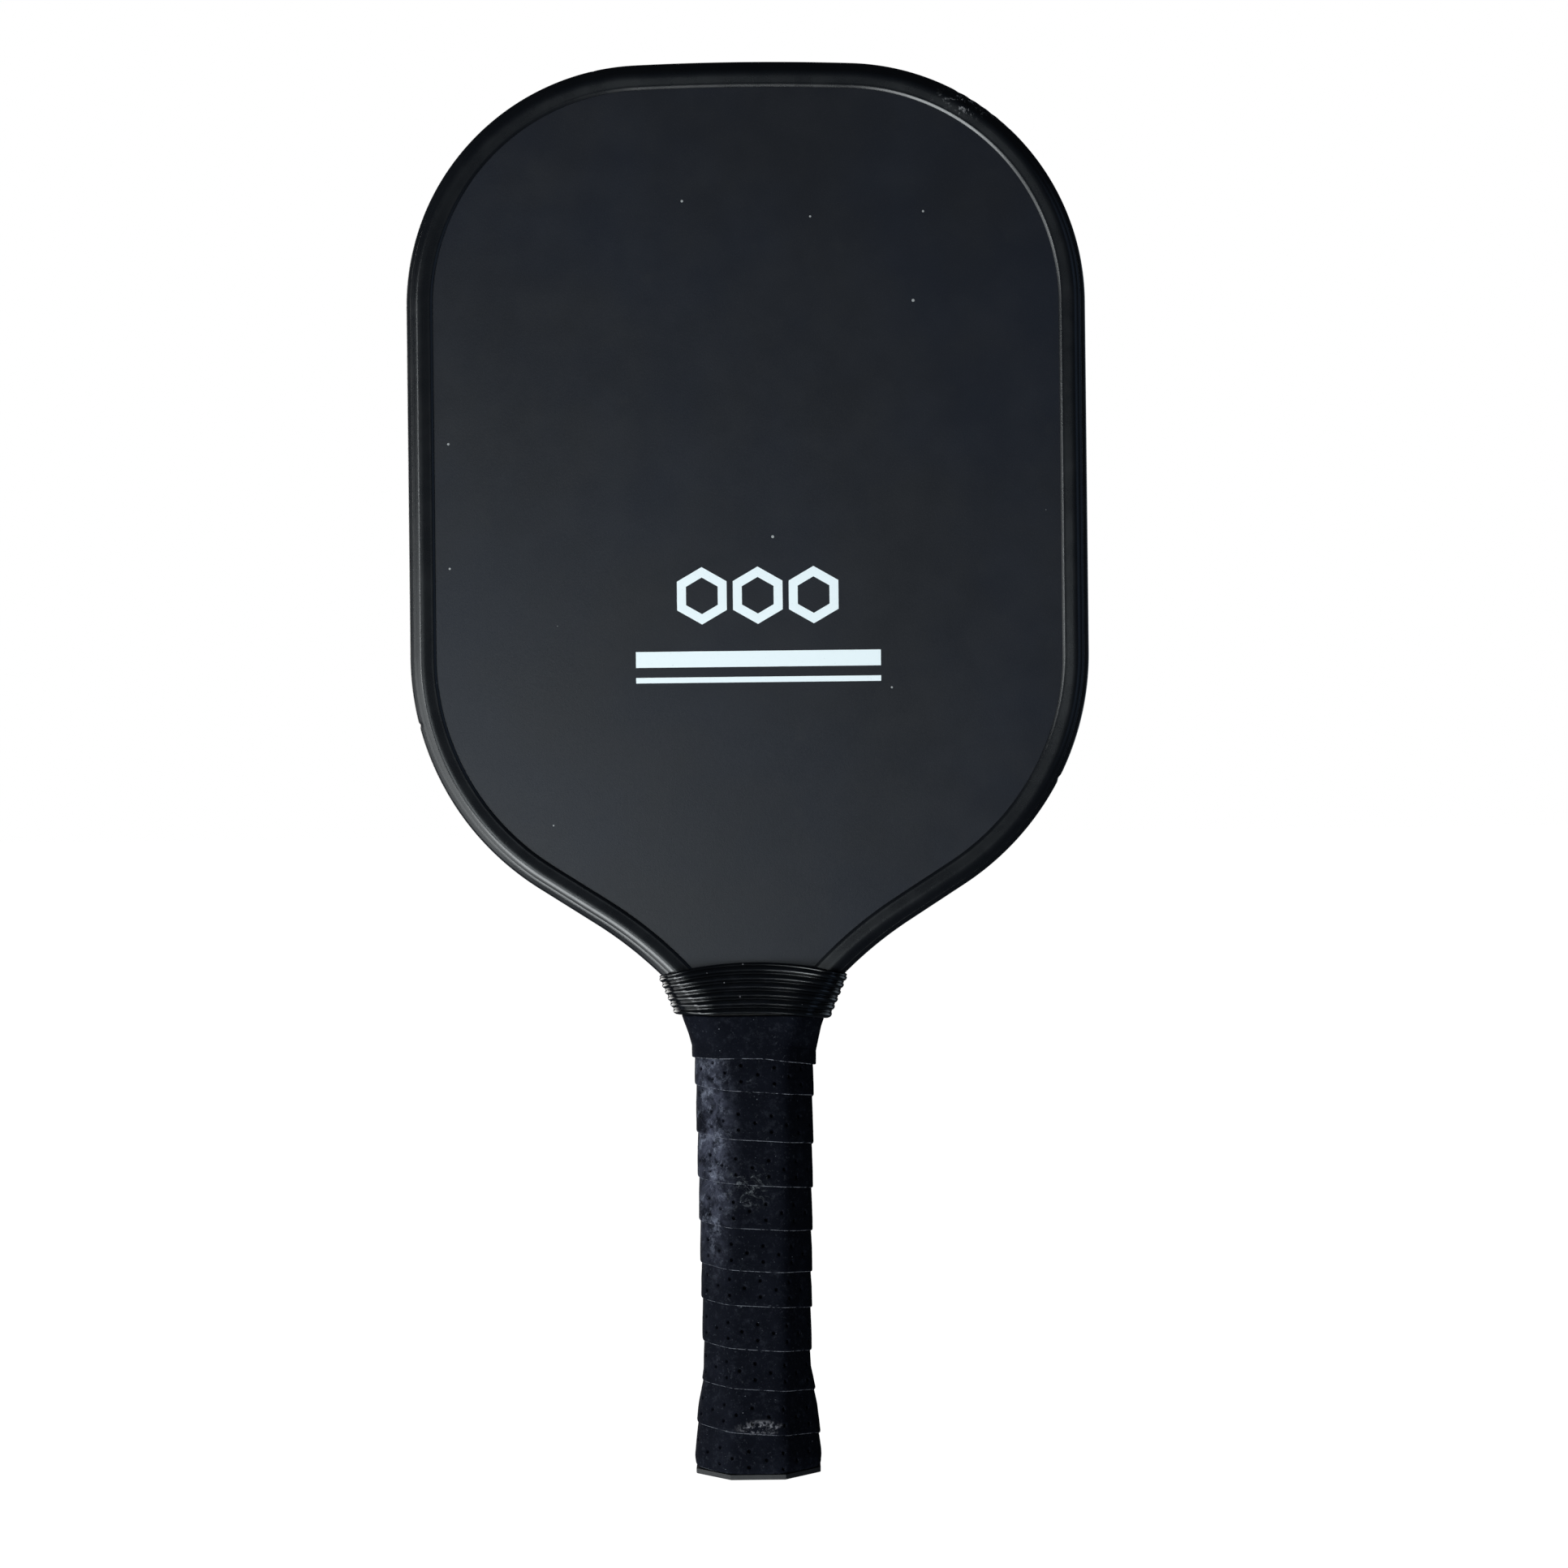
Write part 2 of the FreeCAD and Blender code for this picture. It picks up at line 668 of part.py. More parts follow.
def cut_tang_channel(body, rear):
    """Take the panel's outline out of the pallet, as deep as half of the panel."""
    sketch = new_sketch(body, "channel_outline", "XZ_Plane")
    panel_outline(sketch, "Sizes.tang_gap")
    pocket(body, sketch, PANEL_HALF, "tang_channel", reverse=not rear)


def cut_ramp(body, rear):
    """Thin the pallet towards its top so that the collar can close over it."""
    sketch = new_sketch(body, "ramp_side", "YZ_Plane")
    side = "" if rear else "-"
    tip = f"{side}({PANEL_HALF} + Sizes.pallet_tip_thickness)"
    outside = f"{side}{octagon_half_depth('grip_top')}"
    full = f"{side}({octagon_half_depth('grip_top')} - Sizes.grip_thickness - Sizes.wrap_gap)"
    top = "Sizes.pallet_top_level"
    above = f"{top} + Sizes.grip_thickness"
    start = "Sizes.grip_top_level"
    polygon(sketch, [(full, start), (outside, start), (outside, above), (tip, above), (tip, top)])
    pocket_through(body, sketch, "ramp")


def cut_tack_hole(body, rear):
    sketch = new_sketch(body, "tack_hole_outline", "XZ_Plane")
    circle(sketch, "0", "Sizes.tack_level", "Sizes.tack_shank_diameter / 2 + Sizes.tack_gap")
    pocket(body, sketch, octagon_half_depth("butt_swell"), "tack_hole", reverse=not rear)


def butt_cap():
    """A flared octagonal cup with a lip that the grip butts against."""
    body = new_body("butt_cap")
    inward = "(Sizes.grip_thickness + Sizes.wrap_gap)"
    names = ["butt_edge", "butt_swell", "butt_neck", "grip_low"]
    stations = grip_stations(inward, names)
    stations[0]["level"] = "Sizes.lip_height"
    stations[-1]["level"] = "Sizes.grip_low_level - Sizes.cap_gap"
    sections = [octagon(body, f"section_{i}", place) for i, place in enumerate(stations)]
    loft(body, "PartDesign::AdditiveLoft", sections, "cup")
    lip = octagon(body, "lip_section", station("butt_edge", "butt_bevel", "Sizes.lip_inset", "0"))
    pad(body, lip, "Sizes.lip_height", "lip")
    cavity = octagon(body, "cavity_section", rebate_octagon("Sizes.cap_gap"))
    pocket(body, cavity, "Sizes.grip_low_level - Sizes.cap_floor", "cavity")
    recess = new_sketch(body, "recess_outline", "XY_Plane")
    circle(recess, "0", "0", "Sizes.badge_diameter / 2 + Sizes.badge_gap")
    pocket(body, recess, "Sizes.badge_recess", "badge_recess", reverse=True)
    cut_cap_tack_holes(body)
    round_lip(body)
    return body


def cap_face_half():
    """Half the depth over the cap's flats at the tacks' level."""
    low, high = octagon_half_depth("butt_swell"), octagon_half_depth("butt_neck")
    rise = "(Sizes.butt_neck_level - Sizes.butt_swell_level)"
    share = f"(Sizes.tack_level - Sizes.butt_swell_level) / {rise}"
    return f"({low} + ({high} - {low}) * {share} - Sizes.grip_thickness - Sizes.wrap_gap)"


def cut_cap_tack_holes(body):
    """A through hole for both shanks and a flat seat for each head."""
    hole = new_sketch(body, "shank_outline", "XZ_Plane")
    circle(hole, "0", "Sizes.tack_level", "Sizes.tack_shank_diameter / 2 + Sizes.tack_gap")
    pocket_through(body, hole, "shank_holes")
    seat = f"({cap_face_half()} - Sizes.tack_head_sink - Sizes.tack_head_thickness)"
    for name, offset, reverse in (("front", seat, True), ("rear", f"-{seat}", False)):
        sketch = new_sketch(body, f"{name}_seat_outline", "XZ_Plane", offset)
        circle(sketch, "0", "Sizes.tack_level", "Sizes.tack_head_diameter / 2 + Sizes.tack_gap")
        pocket(body, sketch, "Sizes.cap_wall + Sizes.grip_thickness", f"{name}_seat", reverse)


def round_lip(body):
    """Round the lower outside edge of the cap."""
    doc.recompute()
    cup = body.Tip
    outside = number("Sizes.badge_diameter")
    low_edges = [
        f"Edge{index}"
        for index, edge in enumerate(cup.Shape.Edges, start=1)
        if edge.BoundBox.ZMax < 1e-6 and edge.BoundBox.DiagonalLength < outside
    ]
    feature = body.newObject("PartDesign::Fillet", "lip_round")
    feature.Base = (cup, low_edges)
    feature.setExpression("Radius", "Sizes.lip_round")


def butt_cap_badge():
    """A blank disc seated in the recess of the cap's end."""
    body = new_body("butt_cap_badge")
    rise = "Sizes.badge_recess - Sizes.badge_thickness"
    sketch = new_sketch(body, "disc_outline", "XY_Plane", rise)
    circle(sketch, "0", "0", "Sizes.badge_diameter / 2")
    pad(body, sketch, "Sizes.badge_thickness", "disc")
    return body


def cylinder(name, radius, height, depth, turn):
    """A cylinder along Y at the tacks' level, starting at depth."""
    piece = doc.addObject("Part::Cylinder", name)
    piece.setExpression("Radius", radius)
    piece.setExpression("Height", height)
    piece.Placement = FreeCAD.Placement(Vector(0, 0, 0), FreeCAD.Rotation(Vector(1, 0, 0), turn))
    piece.setExpression("Placement.Base.y", depth)
    piece.setExpression("Placement.Base.z", "Sizes.tack_level")
    return piece


def butt_cap_tacks():
    """Two flat-headed tacks, one through each wide face of the cap."""
    tacks = []
    outer_face = f"({cap_face_half()} - Sizes.tack_head_sink)"
    under_head = f"({outer_face} - Sizes.tack_head_thickness)"
    for name, sign, turn in (("front", "-", -90), ("rear", "", 90)):
        head = cylinder(
            f"{name}_tack_head", "Sizes.tack_head_diameter / 2", "Sizes.tack_head_thickness",
            f"{sign}{outer_face}", turn,
        )
        shank = cylinder(
            f"{name}_tack_shank", "Sizes.tack_shank_diameter / 2", "Sizes.tack_shank_length",
            f"{sign}{under_head}", turn,
        )
        tack = doc.addObject("Part::Fuse", f"{name}_tack")
        tack.Base = head
        tack.Tool = shank
        tacks.append(tack)
    group = doc.addObject("Part::Compound", "butt_cap_tacks")
    group.Label = "butt_cap_tacks"
    group.Links = tacks
    return group


# Grip, finishing tape and collar


def cushion_grip():
    """The wound grip as one sleeve from the cap's lip to the collar."""
    body = new_body("cushion_grip")
    names = ["butt_edge", "butt_swell", "butt_neck", "grip_low", "grip_high", "flare", "grip_top"]
    outer, inner = grip_stations("0", names), grip_stations("Sizes.grip_thickness", names)
    octagon_sleeve(body, outer, inner)
    return body


def finishing_tape():
    """A thin band round the top of the grip."""
    body = new_body("finishing_tape")
    names = ["grip_high", "flare", "grip_top"]
    outer = grip_stations("(-Sizes.finish_tape_gap - Sizes.finish_tape_thickness)", names)
    inner = grip_stations("(-Sizes.finish_tape_gap)", names)
    octagon_sleeve(body, outer, inner)
    return body


def grip_collar():
    """A stretched rubber band, wide and thin at the top, with both rims arched."""
    body = new_body("grip_collar")
    ends = (("collar_low", "collar_low_bevel"), ("collar_high", "collar_high_bevel"))
    outer = [station(name, bevel, "0") for name, bevel in ends]
    inner = [station(name, bevel, "Sizes.collar_thickness") for name, bevel in ends]
    octagon_sleeve(body, outer, inner)
    below = new_sketch(body, "bottom_rim", "XZ_Plane")
    circle(below, "0", "Sizes.collar_bottom_crest - Sizes.collar_bottom_radius",
           "Sizes.collar_bottom_radius")
    pocket_through(body, below, "trim_below")
    above = new_sketch(body, "top_rim", "XZ_Plane")
    centre = "Sizes.collar_top_crest - Sizes.collar_top_radius"
    circle(above, "0", centre, "Sizes.collar_top_radius")
    circle(above, "0", centre, "Sizes.collar_top_radius + Sizes.collar_high_width")
    pocket_through(body, above, "trim_above")
    return body


def check(pieces):
    """Stop if any object failed or any piece isn't a valid solid."""
    doc.recompute()
    for item in doc.Objects:
        if "Invalid" in item.State or "Error" in item.State:
            raise RuntimeError(f"{item.Name} failed: {item.State}")
        if item.TypeId == "PartDesign::Pocket" and item.Shape.Volume >= item.BaseFeature.Shape.Volume:
            raise RuntimeError(f"{item.Name} cuts nothing away")
    for piece in pieces:
        if piece.Shape.isNull() or not piece.Shape.isValid() or piece.Shape.Volume <= 0:
            raise RuntimeError(f"{piece.Label} has no valid solid")


def main():
    fill_sheet()
    pieces = [honeycomb_core(), edge_tape(), edge_guard()]
    for rear in (False, True):
        pieces += [scrim(rear), face_sheet(rear), face_mark(rear), handle_pallet(rear)]
    pieces += [butt_cap(), butt_cap_badge(), butt_cap_tacks()]
    pieces += [cushion_grip(), finishing_tape(), grip_collar()]
    check(pieces)
    os.makedirs("parts", exist_ok=True)
    for piece in pieces:
        piece.Shape.exportStep(f"parts/{piece.Label}.step")
        print(f"{piece.Label}: {len(piece.Shape.Solids)} solids, {piece.Shape.Volume:.1f} mm3")


main()
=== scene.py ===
# Looks of the pickleball paddle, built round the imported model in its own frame, in metres.
#
# The face sheets, their printed marks, the butt cap and the hidden pieces keep their CAD shapes and
# get node materials. The edge guard, the wrapped grip, its finishing tape and the ribbed collar are
# built here as finer meshes that stand for their CAD nodes.

import json
import math

import bpy
import numpy as np
from mathutils import Matrix, Vector, noise
from mathutils.bvhtree import BVHTree

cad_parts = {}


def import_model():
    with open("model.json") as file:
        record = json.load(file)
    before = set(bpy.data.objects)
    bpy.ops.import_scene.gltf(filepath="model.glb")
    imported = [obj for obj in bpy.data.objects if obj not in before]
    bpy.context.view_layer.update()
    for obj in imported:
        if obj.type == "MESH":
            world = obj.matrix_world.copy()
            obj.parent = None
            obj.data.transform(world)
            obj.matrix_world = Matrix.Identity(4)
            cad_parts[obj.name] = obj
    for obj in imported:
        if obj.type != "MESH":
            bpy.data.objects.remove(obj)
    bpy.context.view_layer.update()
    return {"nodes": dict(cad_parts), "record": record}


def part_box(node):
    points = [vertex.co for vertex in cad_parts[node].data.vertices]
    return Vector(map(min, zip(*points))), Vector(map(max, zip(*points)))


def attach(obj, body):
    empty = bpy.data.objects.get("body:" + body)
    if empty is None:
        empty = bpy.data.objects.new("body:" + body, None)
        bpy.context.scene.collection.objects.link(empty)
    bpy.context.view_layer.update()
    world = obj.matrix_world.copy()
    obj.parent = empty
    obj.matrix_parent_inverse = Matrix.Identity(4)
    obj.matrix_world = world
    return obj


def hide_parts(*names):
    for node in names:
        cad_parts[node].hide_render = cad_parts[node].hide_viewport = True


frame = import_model()

MM = 0.001
TURN = 2 * math.pi

# Guard outline: radii and lengths of its arcs, from the crown down to the throat
CROWN_RADIUS = 780 * MM
CORNER_RADIUS = 70 * MM
SIDE_END_LEVEL = 237.7 * MM
LOWER_RADIUS = 80 * MM
LOWER_SWEEP = math.radians(57.35)
SHOULDER_LENGTH = 19.4 * MM
THROAT_RADIUS = 114.5 * MM
THROAT_SWEEP = math.radians(15.35)
GUARD_STEP = 1.3 * MM

# Guard section from the middle of its side to the lip's foot, as (depth in from the edge, half thickness)
GUARD_SECTION = [
    # outer edge and slope
    (0.00, 0.0), (0.00, 1.6), (0.01, 2.8), (0.03, 3.8), (0.08, 4.5), (0.18, 5.0), (0.36, 5.35),
    (0.70, 5.68), (1.20, 6.14), (1.80, 6.68), (2.40, 7.21), (2.90, 7.60), (3.35, 7.87), (3.80, 8.01),
    # land
    (4.30, 8.05), (5.00, 7.97), (5.80, 7.86), (6.50, 7.76), (6.95, 7.70), (7.12, 7.70),
    # lip
    (7.22, 7.68), (7.32, 7.63), (7.50, 7.52), (7.70, 7.39), (7.88, 7.26), (7.97, 7.18), (7.99, 7.12),
    # inside of the channel
    (7.92, 7.07), (7.70, 7.06), (5.00, 7.06), (1.60, 7.06), (1.55, 6.90), (1.55, 3.0),
]
# Knocks in the guard's outer edge, as (across, level, depth, reach)
GUARD_NICKS = [
    (-43.3, 407.0, 0.42, 0.7), (-96.3, 218.2, 0.40, 0.7), (89.3, 201.0, 0.45, 0.8),
    (62.9, 401.0, 0.25, 0.9), (66.6, 399.1, 0.30, 1.0), (69.8, 397.2, 0.20, 1.2),
    (72.7, 395.0, 0.32, 1.0), (75.6, 392.9, 0.35, 0.9), (77.7, 391.3, 0.28, 1.1),
]

# Grip: levels of the turns' lower edges where they cross the front, and the tape that makes them
SEAM_LEVELS = [-24.6, -12.0, 0.6, 13.0, 25.6, 37.0, 49.6, 59.7, 71.8, 84.4, 97.3, 111.3, 123.6, 136.0]
FIRST_TURN = -2
REAR_HURRY = 0.446
GRIP_INSET = 0.62 * MM
TURN_STEP = 0.52 * MM
HOLE_PITCH = 9.1 * MM
HOLE_RADIUS = 0.57 * MM
ROW_PITCH = 2.3 * MM
FIRST_ROW = 1.85 * MM
CELLS_PER_PITCH = 4
CUTS = 4
# Rows of the wrap's lower edge, from the tucked side outwards, as (distance from the edge, height)
EDGE_ROWS = [
    (1.3, -0.85), (1.1, -0.32), (0.5, -0.26), (0.16, -0.20),
    (0.0, 0.02), (0.03, 0.22), (0.16, 0.40), (0.42, 0.50),
]
# Rings of a hole from its rim down, as (share of its radius, height)
HOLE_RINGS = [(1.10, 0.0), (1.0, -0.06), (0.88, -0.20), (0.70, -0.75), (0.35, -0.85)]
# The hole ring that gets a painted highlight: a pale crescent on its lower-right side, standing for light
# falling on the hole's far wall
PAINTED_GLINT_RING = 0.88
# Surfaces deeper than this are covered, and points that far from an edge carry no lint
COVERED = -0.15 * MM
NO_LINT = 3 * MM

# Finishing band: rows of its lower edge as (distance above its foot, height), and the rows above
BAND_EDGE_ROWS = [
    (1.5, -0.05), (0.5, 0.06), (0.1, 0.08), (0.0, 0.16), (0.0, 0.30), (0.06, 0.42), (0.2, 0.47),
]
BAND_COUNT = 240
BAND_PITCH = 0.62
BAND_START = 0.2
BAND_FOOT_DROP = 1.2 * MM
BAND_FOOT_RISE = 2.7 * MM
BAND_TOP_RISE = 1.6 * MM
BAND_FLARE = 0.6 * MM
BAND_FLARE_FROM = 126 * MM
BAND_FLARE_SPAN = 8 * MM

# Ribbed collar: its two arched edges and its ribs
COLLAR_TOP = 148.4 * MM
COLLAR_TOP_RADIUS = 98 * MM
COLLAR_BOTTOM = 134.2 * MM
COLLAR_BOTTOM_RADIUS = 113 * MM
COLLAR_LEVELS = (135 * MM, 144 * MM)
COLLAR_INSET = 0.62 * MM
RIBS = 6

# Camera and view, from the photograph's perspective
CAMERA_PLACE = (9.6 * MM, -950 * MM, 200 * MM)
CAMERA_LENS = 74.7
CAMERA_ROLL = math.radians(-0.645)

# Soft lights: name, place, target, width, height, power and colour
MIDDLE = (0, 0, 0.24)
SOFTBOXES = [
    ("key_left", (-1.10, -0.42, -0.34), (0, 0, -0.20), 0.9, 1.34, 10.5, (0.94, 0.99, 1.0)),
    ("front_left", (-0.40, -1.40, 0.00), MIDDLE, 0.5, 0.4, 3.2, (0.88, 0.97, 1.0)),
    ("low_front_left", (-0.65, -0.95, -0.75), MIDDLE, 0.9, 0.8, 25, (0.93, 0.98, 1.0)),
    ("lip_strip", (-0.90, -0.80, 0.28), MIDDLE, 0.16, 0.42, 2.6, (0.93, 0.98, 1.0)),
    ("fill_right", (1.2, -0.6, 0.45), MIDDLE, 0.6, 1.2, 0.8, (0.45, 0.65, 1.0)),
    ("rear_left", (-0.9, 1.0, 0.35), MIDDLE, 0.9, 0.9, 9, (1.0, 1.0, 0.98)),
    ("rear_right", (1.1, 0.8, 0.3), MIDDLE, 0.7, 0.9, 1.4, (0.7, 0.85, 1.0)),
]
FLOOR_REACH = 12.0

# Cap and inner materials: two close colours, roughness, grain and relief
PLAIN_LOOKS = {
    "cap_plastic": ((0.0035, 0.0038, 0.0048), (0.0055, 0.0058, 0.0070), 0.6, 0.4 * MM, 0.02 * MM),
    "badge_plastic": ((0.020, 0.020, 0.022), (0.026, 0.026, 0.029), 0.22, 0.6 * MM, 0.004 * MM),
    "tack_steel": ((0.52, 0.52, 0.50), (0.40, 0.40, 0.39), 0.32, 0.3 * MM, 0.004 * MM),
    "core_polymer": ((0.70, 0.71, 0.68), (0.62, 0.63, 0.60), 0.45, 0.5 * MM, 0.01 * MM),
    "scrim": ((0.62, 0.61, 0.56), (0.50, 0.49, 0.45), 0.9, 0.25 * MM, 0.04 * MM),
    "rim_tape": ((0.02, 0.02, 0.02), (0.03, 0.03, 0.03), 0.7, 0.4 * MM, 0.02 * MM),
    "pallet_foam": ((0.10, 0.10, 0.10), (0.13, 0.13, 0.125), 0.8, 0.5 * MM, 0.05 * MM),
}
METALS = {"tack_steel"}

scene = bpy.context.scene


# ---------------------------------------------------------------- meshes


def mesh_piece(name, points, faces, material, replaced):
    """A smooth mesh of these points and faces in place of a CAD node, and which points it uses."""
    points = np.asarray(points, float)
    used = np.unique(np.concatenate([np.asarray(f) for f in faces]))
    renumber = np.full(len(points), -1)
    renumber[used] = np.arange(len(used))
    mesh = bpy.data.meshes.new(name)
    mesh.from_pydata(points[used].tolist(), [], [[int(renumber[k]) for k in f] for f in faces])
    mesh.validate()
    mesh.shade_smooth()
    mesh.materials.append(material)
    piece = bpy.data.objects.new(name, mesh)
    scene.collection.objects.link(piece)
    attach(piece, "root")
    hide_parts(replaced)
    return piece, used


def grid_faces(count_along, count_round, closed):
    """Quads of a grid of points, count_along by count_round, closed round the second way or not."""
    faces = []
    last = count_round if closed else count_round - 1
    for i in range(count_along - 1):
        for j in range(last):
            k = (j + 1) % count_round
            a, b = i * count_round, (i + 1) * count_round
            faces.append((a + j, a + k, b + k, b + j))
    return faces


def lumps(points, size, seed):
    """Smooth noise from -1 to 1 at each point, with lumps of about this size."""
    shift = Vector((seed * 17.3, seed * 5.1, seed * 9.7))
    values = [noise.noise(Vector(p) / size + shift) for p in points.reshape(-1, 3)]
    return np.array(values).reshape(points.shape[:-1])


# ---------------------------------------------------------------- sections read from the CAD


def outer_loop(tree, level, count, soften):
    """The outside of a CAD piece at a level: even points from the front middle leftwards, softened."""
    reach = 0.1
    rays = 720
    found = []
    for k in range(rays):
        angle = -math.pi / 2 - TURN * k / rays
        way = Vector((math.cos(angle), math.sin(angle), 0))
        hit = tree.ray_cast(Vector((0, 0, level)) + way * reach, -way)[0]
        found.append((hit.x, hit.y))
    loop = np.array(found + found[:1])
    length = np.concatenate([[0], np.cumsum(np.hypot(*np.diff(loop, axis=0).T))])
    at = np.linspace(0, length[-1], count, endpoint=False)
    even = np.stack([np.interp(at, length, loop[:, k]) for k in (0, 1)], 1)
    spread = soften / (length[-1] / count)
    wave = np.fft.fftfreq(count)
    filtered = np.fft.fft(even, axis=0) * np.exp(-2 * (math.pi * wave * spread) ** 2)[:, None]
    return np.fft.ifft(filtered, axis=0).real


def tree_of(node):
    mesh = frame["nodes"][node].data
    return BVHTree.FromPolygons([v.co for v in mesh.vertices], [p.vertices for p in mesh.polygons])


def loop_normals(loops):
    """Outward normals in the plane of each loop, which runs clockwise seen from above."""
    along = np.roll(loops, -1, axis=-2) - np.roll(loops, 1, axis=-2)
    normals = np.stack([-along[..., 1], along[..., 0]], -1)
    return normals / np.linalg.norm(normals, axis=-1, keepdims=True)


class Sleeve:
    """The outside of a CAD sleeve as a surface of (turn fraction from the front, level, height off it)."""

    def __init__(self, node, low, high, step, count, soften):
        tree = tree_of(node)
        self.levels = np.arange(low, high + step / 2, step)
        self.loops = np.array([outer_loop(tree, z, count, soften) for z in self.levels])
        self.normals = loop_normals(self.loops)
        self.count = count
        middle = self.loops[len(self.levels) // 2]
        self.girth = np.linalg.norm(np.roll(middle, -1, axis=0) - middle, axis=1).sum()

    def points(self, turn, level, height):
        """Points at these turn fractions, levels and heights, which are arrays of one shape."""
        row = (level - self.levels[0]) / (self.levels[1] - self.levels[0])
        row = np.clip(row, 0, len(self.levels) - 1.001)
        column = (turn % 1.0) * self.count
        r, c = row.astype(int), column.astype(int)
        fr, fc = (row - r)[..., None], (column - c)[..., None]
        c = c % self.count
        n = (c + 1) % self.count

        def blend(table):
            near = table[r, c] * (1 - fc) + table[r, n] * fc
            far = table[r + 1, c] * (1 - fc) + table[r + 1, n] * fc
            return near * (1 - fr) + far * fr

        flat = blend(self.loops) + blend(self.normals) * height[..., None]
        return np.concatenate([flat, level[..., None]], -1)


# ---------------------------------------------------------------- materials


class Look:
    """A node material under way. Its patterns read the piece's own coordinates, in metres."""

    def __init__(self, name, colour, roughness, **values):
        self.material = bpy.data.materials.new(name)
        self.material.use_nodes = True
        self.nodes = self.material.node_tree.nodes
        self.links = self.material.node_tree.links
        self.shader = self.nodes["Principled BSDF"]
        self.place = self.add("ShaderNodeTexCoord").outputs["Object"]
        self.colour = self.constant(colour)
        self.shader.inputs["Roughness"].default_value = roughness
        for socket, value in values.items():
            self.shader.inputs[socket.replace("_", " ")].default_value = value
        self.height = None
        self.normal = None

    def add(self, kind, inputs=None, **settings):
        node = self.nodes.new(kind)
        for key, value in settings.items():
            setattr(node, key, value)
        for key, value in (inputs or {}).items():
            if isinstance(value, bpy.types.NodeSocket):
                self.links.new(value, node.inputs[key])
            else:
                node.inputs[key].default_value = value
        return node

    def constant(self, colour):
        node = self.add("ShaderNodeRGB")
        node.outputs[0].default_value = (*colour, 1)
        return node.outputs[0]

    def math(self, operation, *values):
        return self.add("ShaderNodeMath", dict(enumerate(values)), operation=operation).outputs[0]

    def noise(self, size, detail=3.0, rough=0.55, stretch=(1, 1, 1), distortion=0.0):
        """Noise from 0 to 1 whose largest lumps are about this size, stretched along an axis by a factor."""
        inverse = [1 / k for k in stretch]
        spread = self.add("ShaderNodeVectorMath", {0: self.place, 1: inverse}, operation="MULTIPLY")
        inputs = {"Vector": spread.outputs[0], "Scale": 1 / size, "Detail": detail, "Roughness": rough}
        return self.add("ShaderNodeTexNoise", {**inputs, "Distortion": distortion}).outputs["Fac"]

    def between(self, value, low, high, start=0.0, end=1.0):
        """start where value is at or below low, end where it is at or above high, smooth between."""
        inputs = {0: value, 1: low, 2: high, 3: start, 4: end}
        return self.add("ShaderNodeMapRange", inputs, interpolation_type="SMOOTHSTEP").outputs[0]

    def tint(self, share, colour):
        """Lays a colour over what is there, by a share from 0 to 1."""
        node = self.add("ShaderNodeMix", {0: share, 6: self.colour, 7: (*colour, 1)}, data_type="RGBA")
        self.colour = node.outputs[2]
        return self

    def rough(self, value, low, high, start, end):
        self.links.new(self.between(value, low, high, start, end), self.shader.inputs["Roughness"])
        return self

    def bump(self, height, distance, strength=1.0):
        inputs = {"Height": height, "Distance": distance, "Strength": strength}
        if self.normal is not None:
            inputs["Normal"] = self.normal
        self.normal = self.add("ShaderNodeBump", inputs).outputs[0]
        return self

    def specks(self, spacing, radius, share, seed):
        """Sparse round specks on the blade's plane: 1 on a speck and 0 off it."""
        axes = self.add("ShaderNodeSeparateXYZ", {0: self.place}).outputs
        flat = self.add("ShaderNodeCombineXYZ", {0: self.math("ADD", axes[0], seed), 1: axes[2]}).outputs[0]
        inputs = {"Vector": flat, "Scale": 1 / spacing}
        cells = self.add("ShaderNodeTexVoronoi", inputs, voronoi_dimensions="2D")
        luck = self.add("ShaderNodeSeparateColor", {0: cells.outputs["Color"]}).outputs
        limit = self.math("MULTIPLY", luck[1], radius / spacing)
        near = self.math("LESS_THAN", cells.outputs["Distance"], limit)
        return self.math("MULTIPLY", near, self.math("LESS_THAN", luck[0], share))

    def spot(self, centre, reach):
        """1 at a place, falling to 0 at reach (along X, Y, Z) from it."""
        away = self.add("ShaderNodeVectorMath", {0: self.place, 1: centre}, operation="SUBTRACT").outputs[0]
        inputs = {0: away, 1: [1 / k for k in reach]}
        scaled = self.add("ShaderNodeVectorMath", inputs, operation="MULTIPLY").outputs[0]
        length = self.add("ShaderNodeVectorMath", {0: scaled}, operation="LENGTH").outputs["Value"]
        return self.between(length, 0.15, 1.0, 1.0, 0.0)

    def done(self):
        self.links.new(self.colour, self.shader.inputs["Base Color"])
        if self.normal is not None:
            self.links.new(self.normal, self.shader.inputs["Normal"])
        return self.material


def face_look():
    """Satin composite skin: fine grit, faint clouding, a few specks of dust."""
    look = Look("face_skin", (0.0075, 0.0086, 0.0120), 0.37, Specular_IOR_Level=0.42)
    look.tint(look.between(look.noise(60 * MM, 4), 0.35, 0.7), (0.0065, 0.0085, 0.0145))
    look.tint(look.between(look.noise(9 * MM, 5), 0.62, 0.8, 0, 0.35), (0.014, 0.015, 0.017))
    look.tint(look.between(look.noise(0.35 * MM, 2), 0.5, 0.75, 0, 0.45), (0.020, 0.021, 0.024))
    look.tint(look.specks(34 * MM, 0.42 * MM, 0.40, 0.3), (0.30, 0.31, 0.31))
    look.rough(look.noise(14 * MM, 5), 0.3, 0.75, 0.35, 0.41)
    look.bump(look.noise(0.45 * MM, 2, 0.7), 0.02 * MM)
    look.bump(look.noise(35 * MM, 2), 0.05 * MM)
    return look.done()


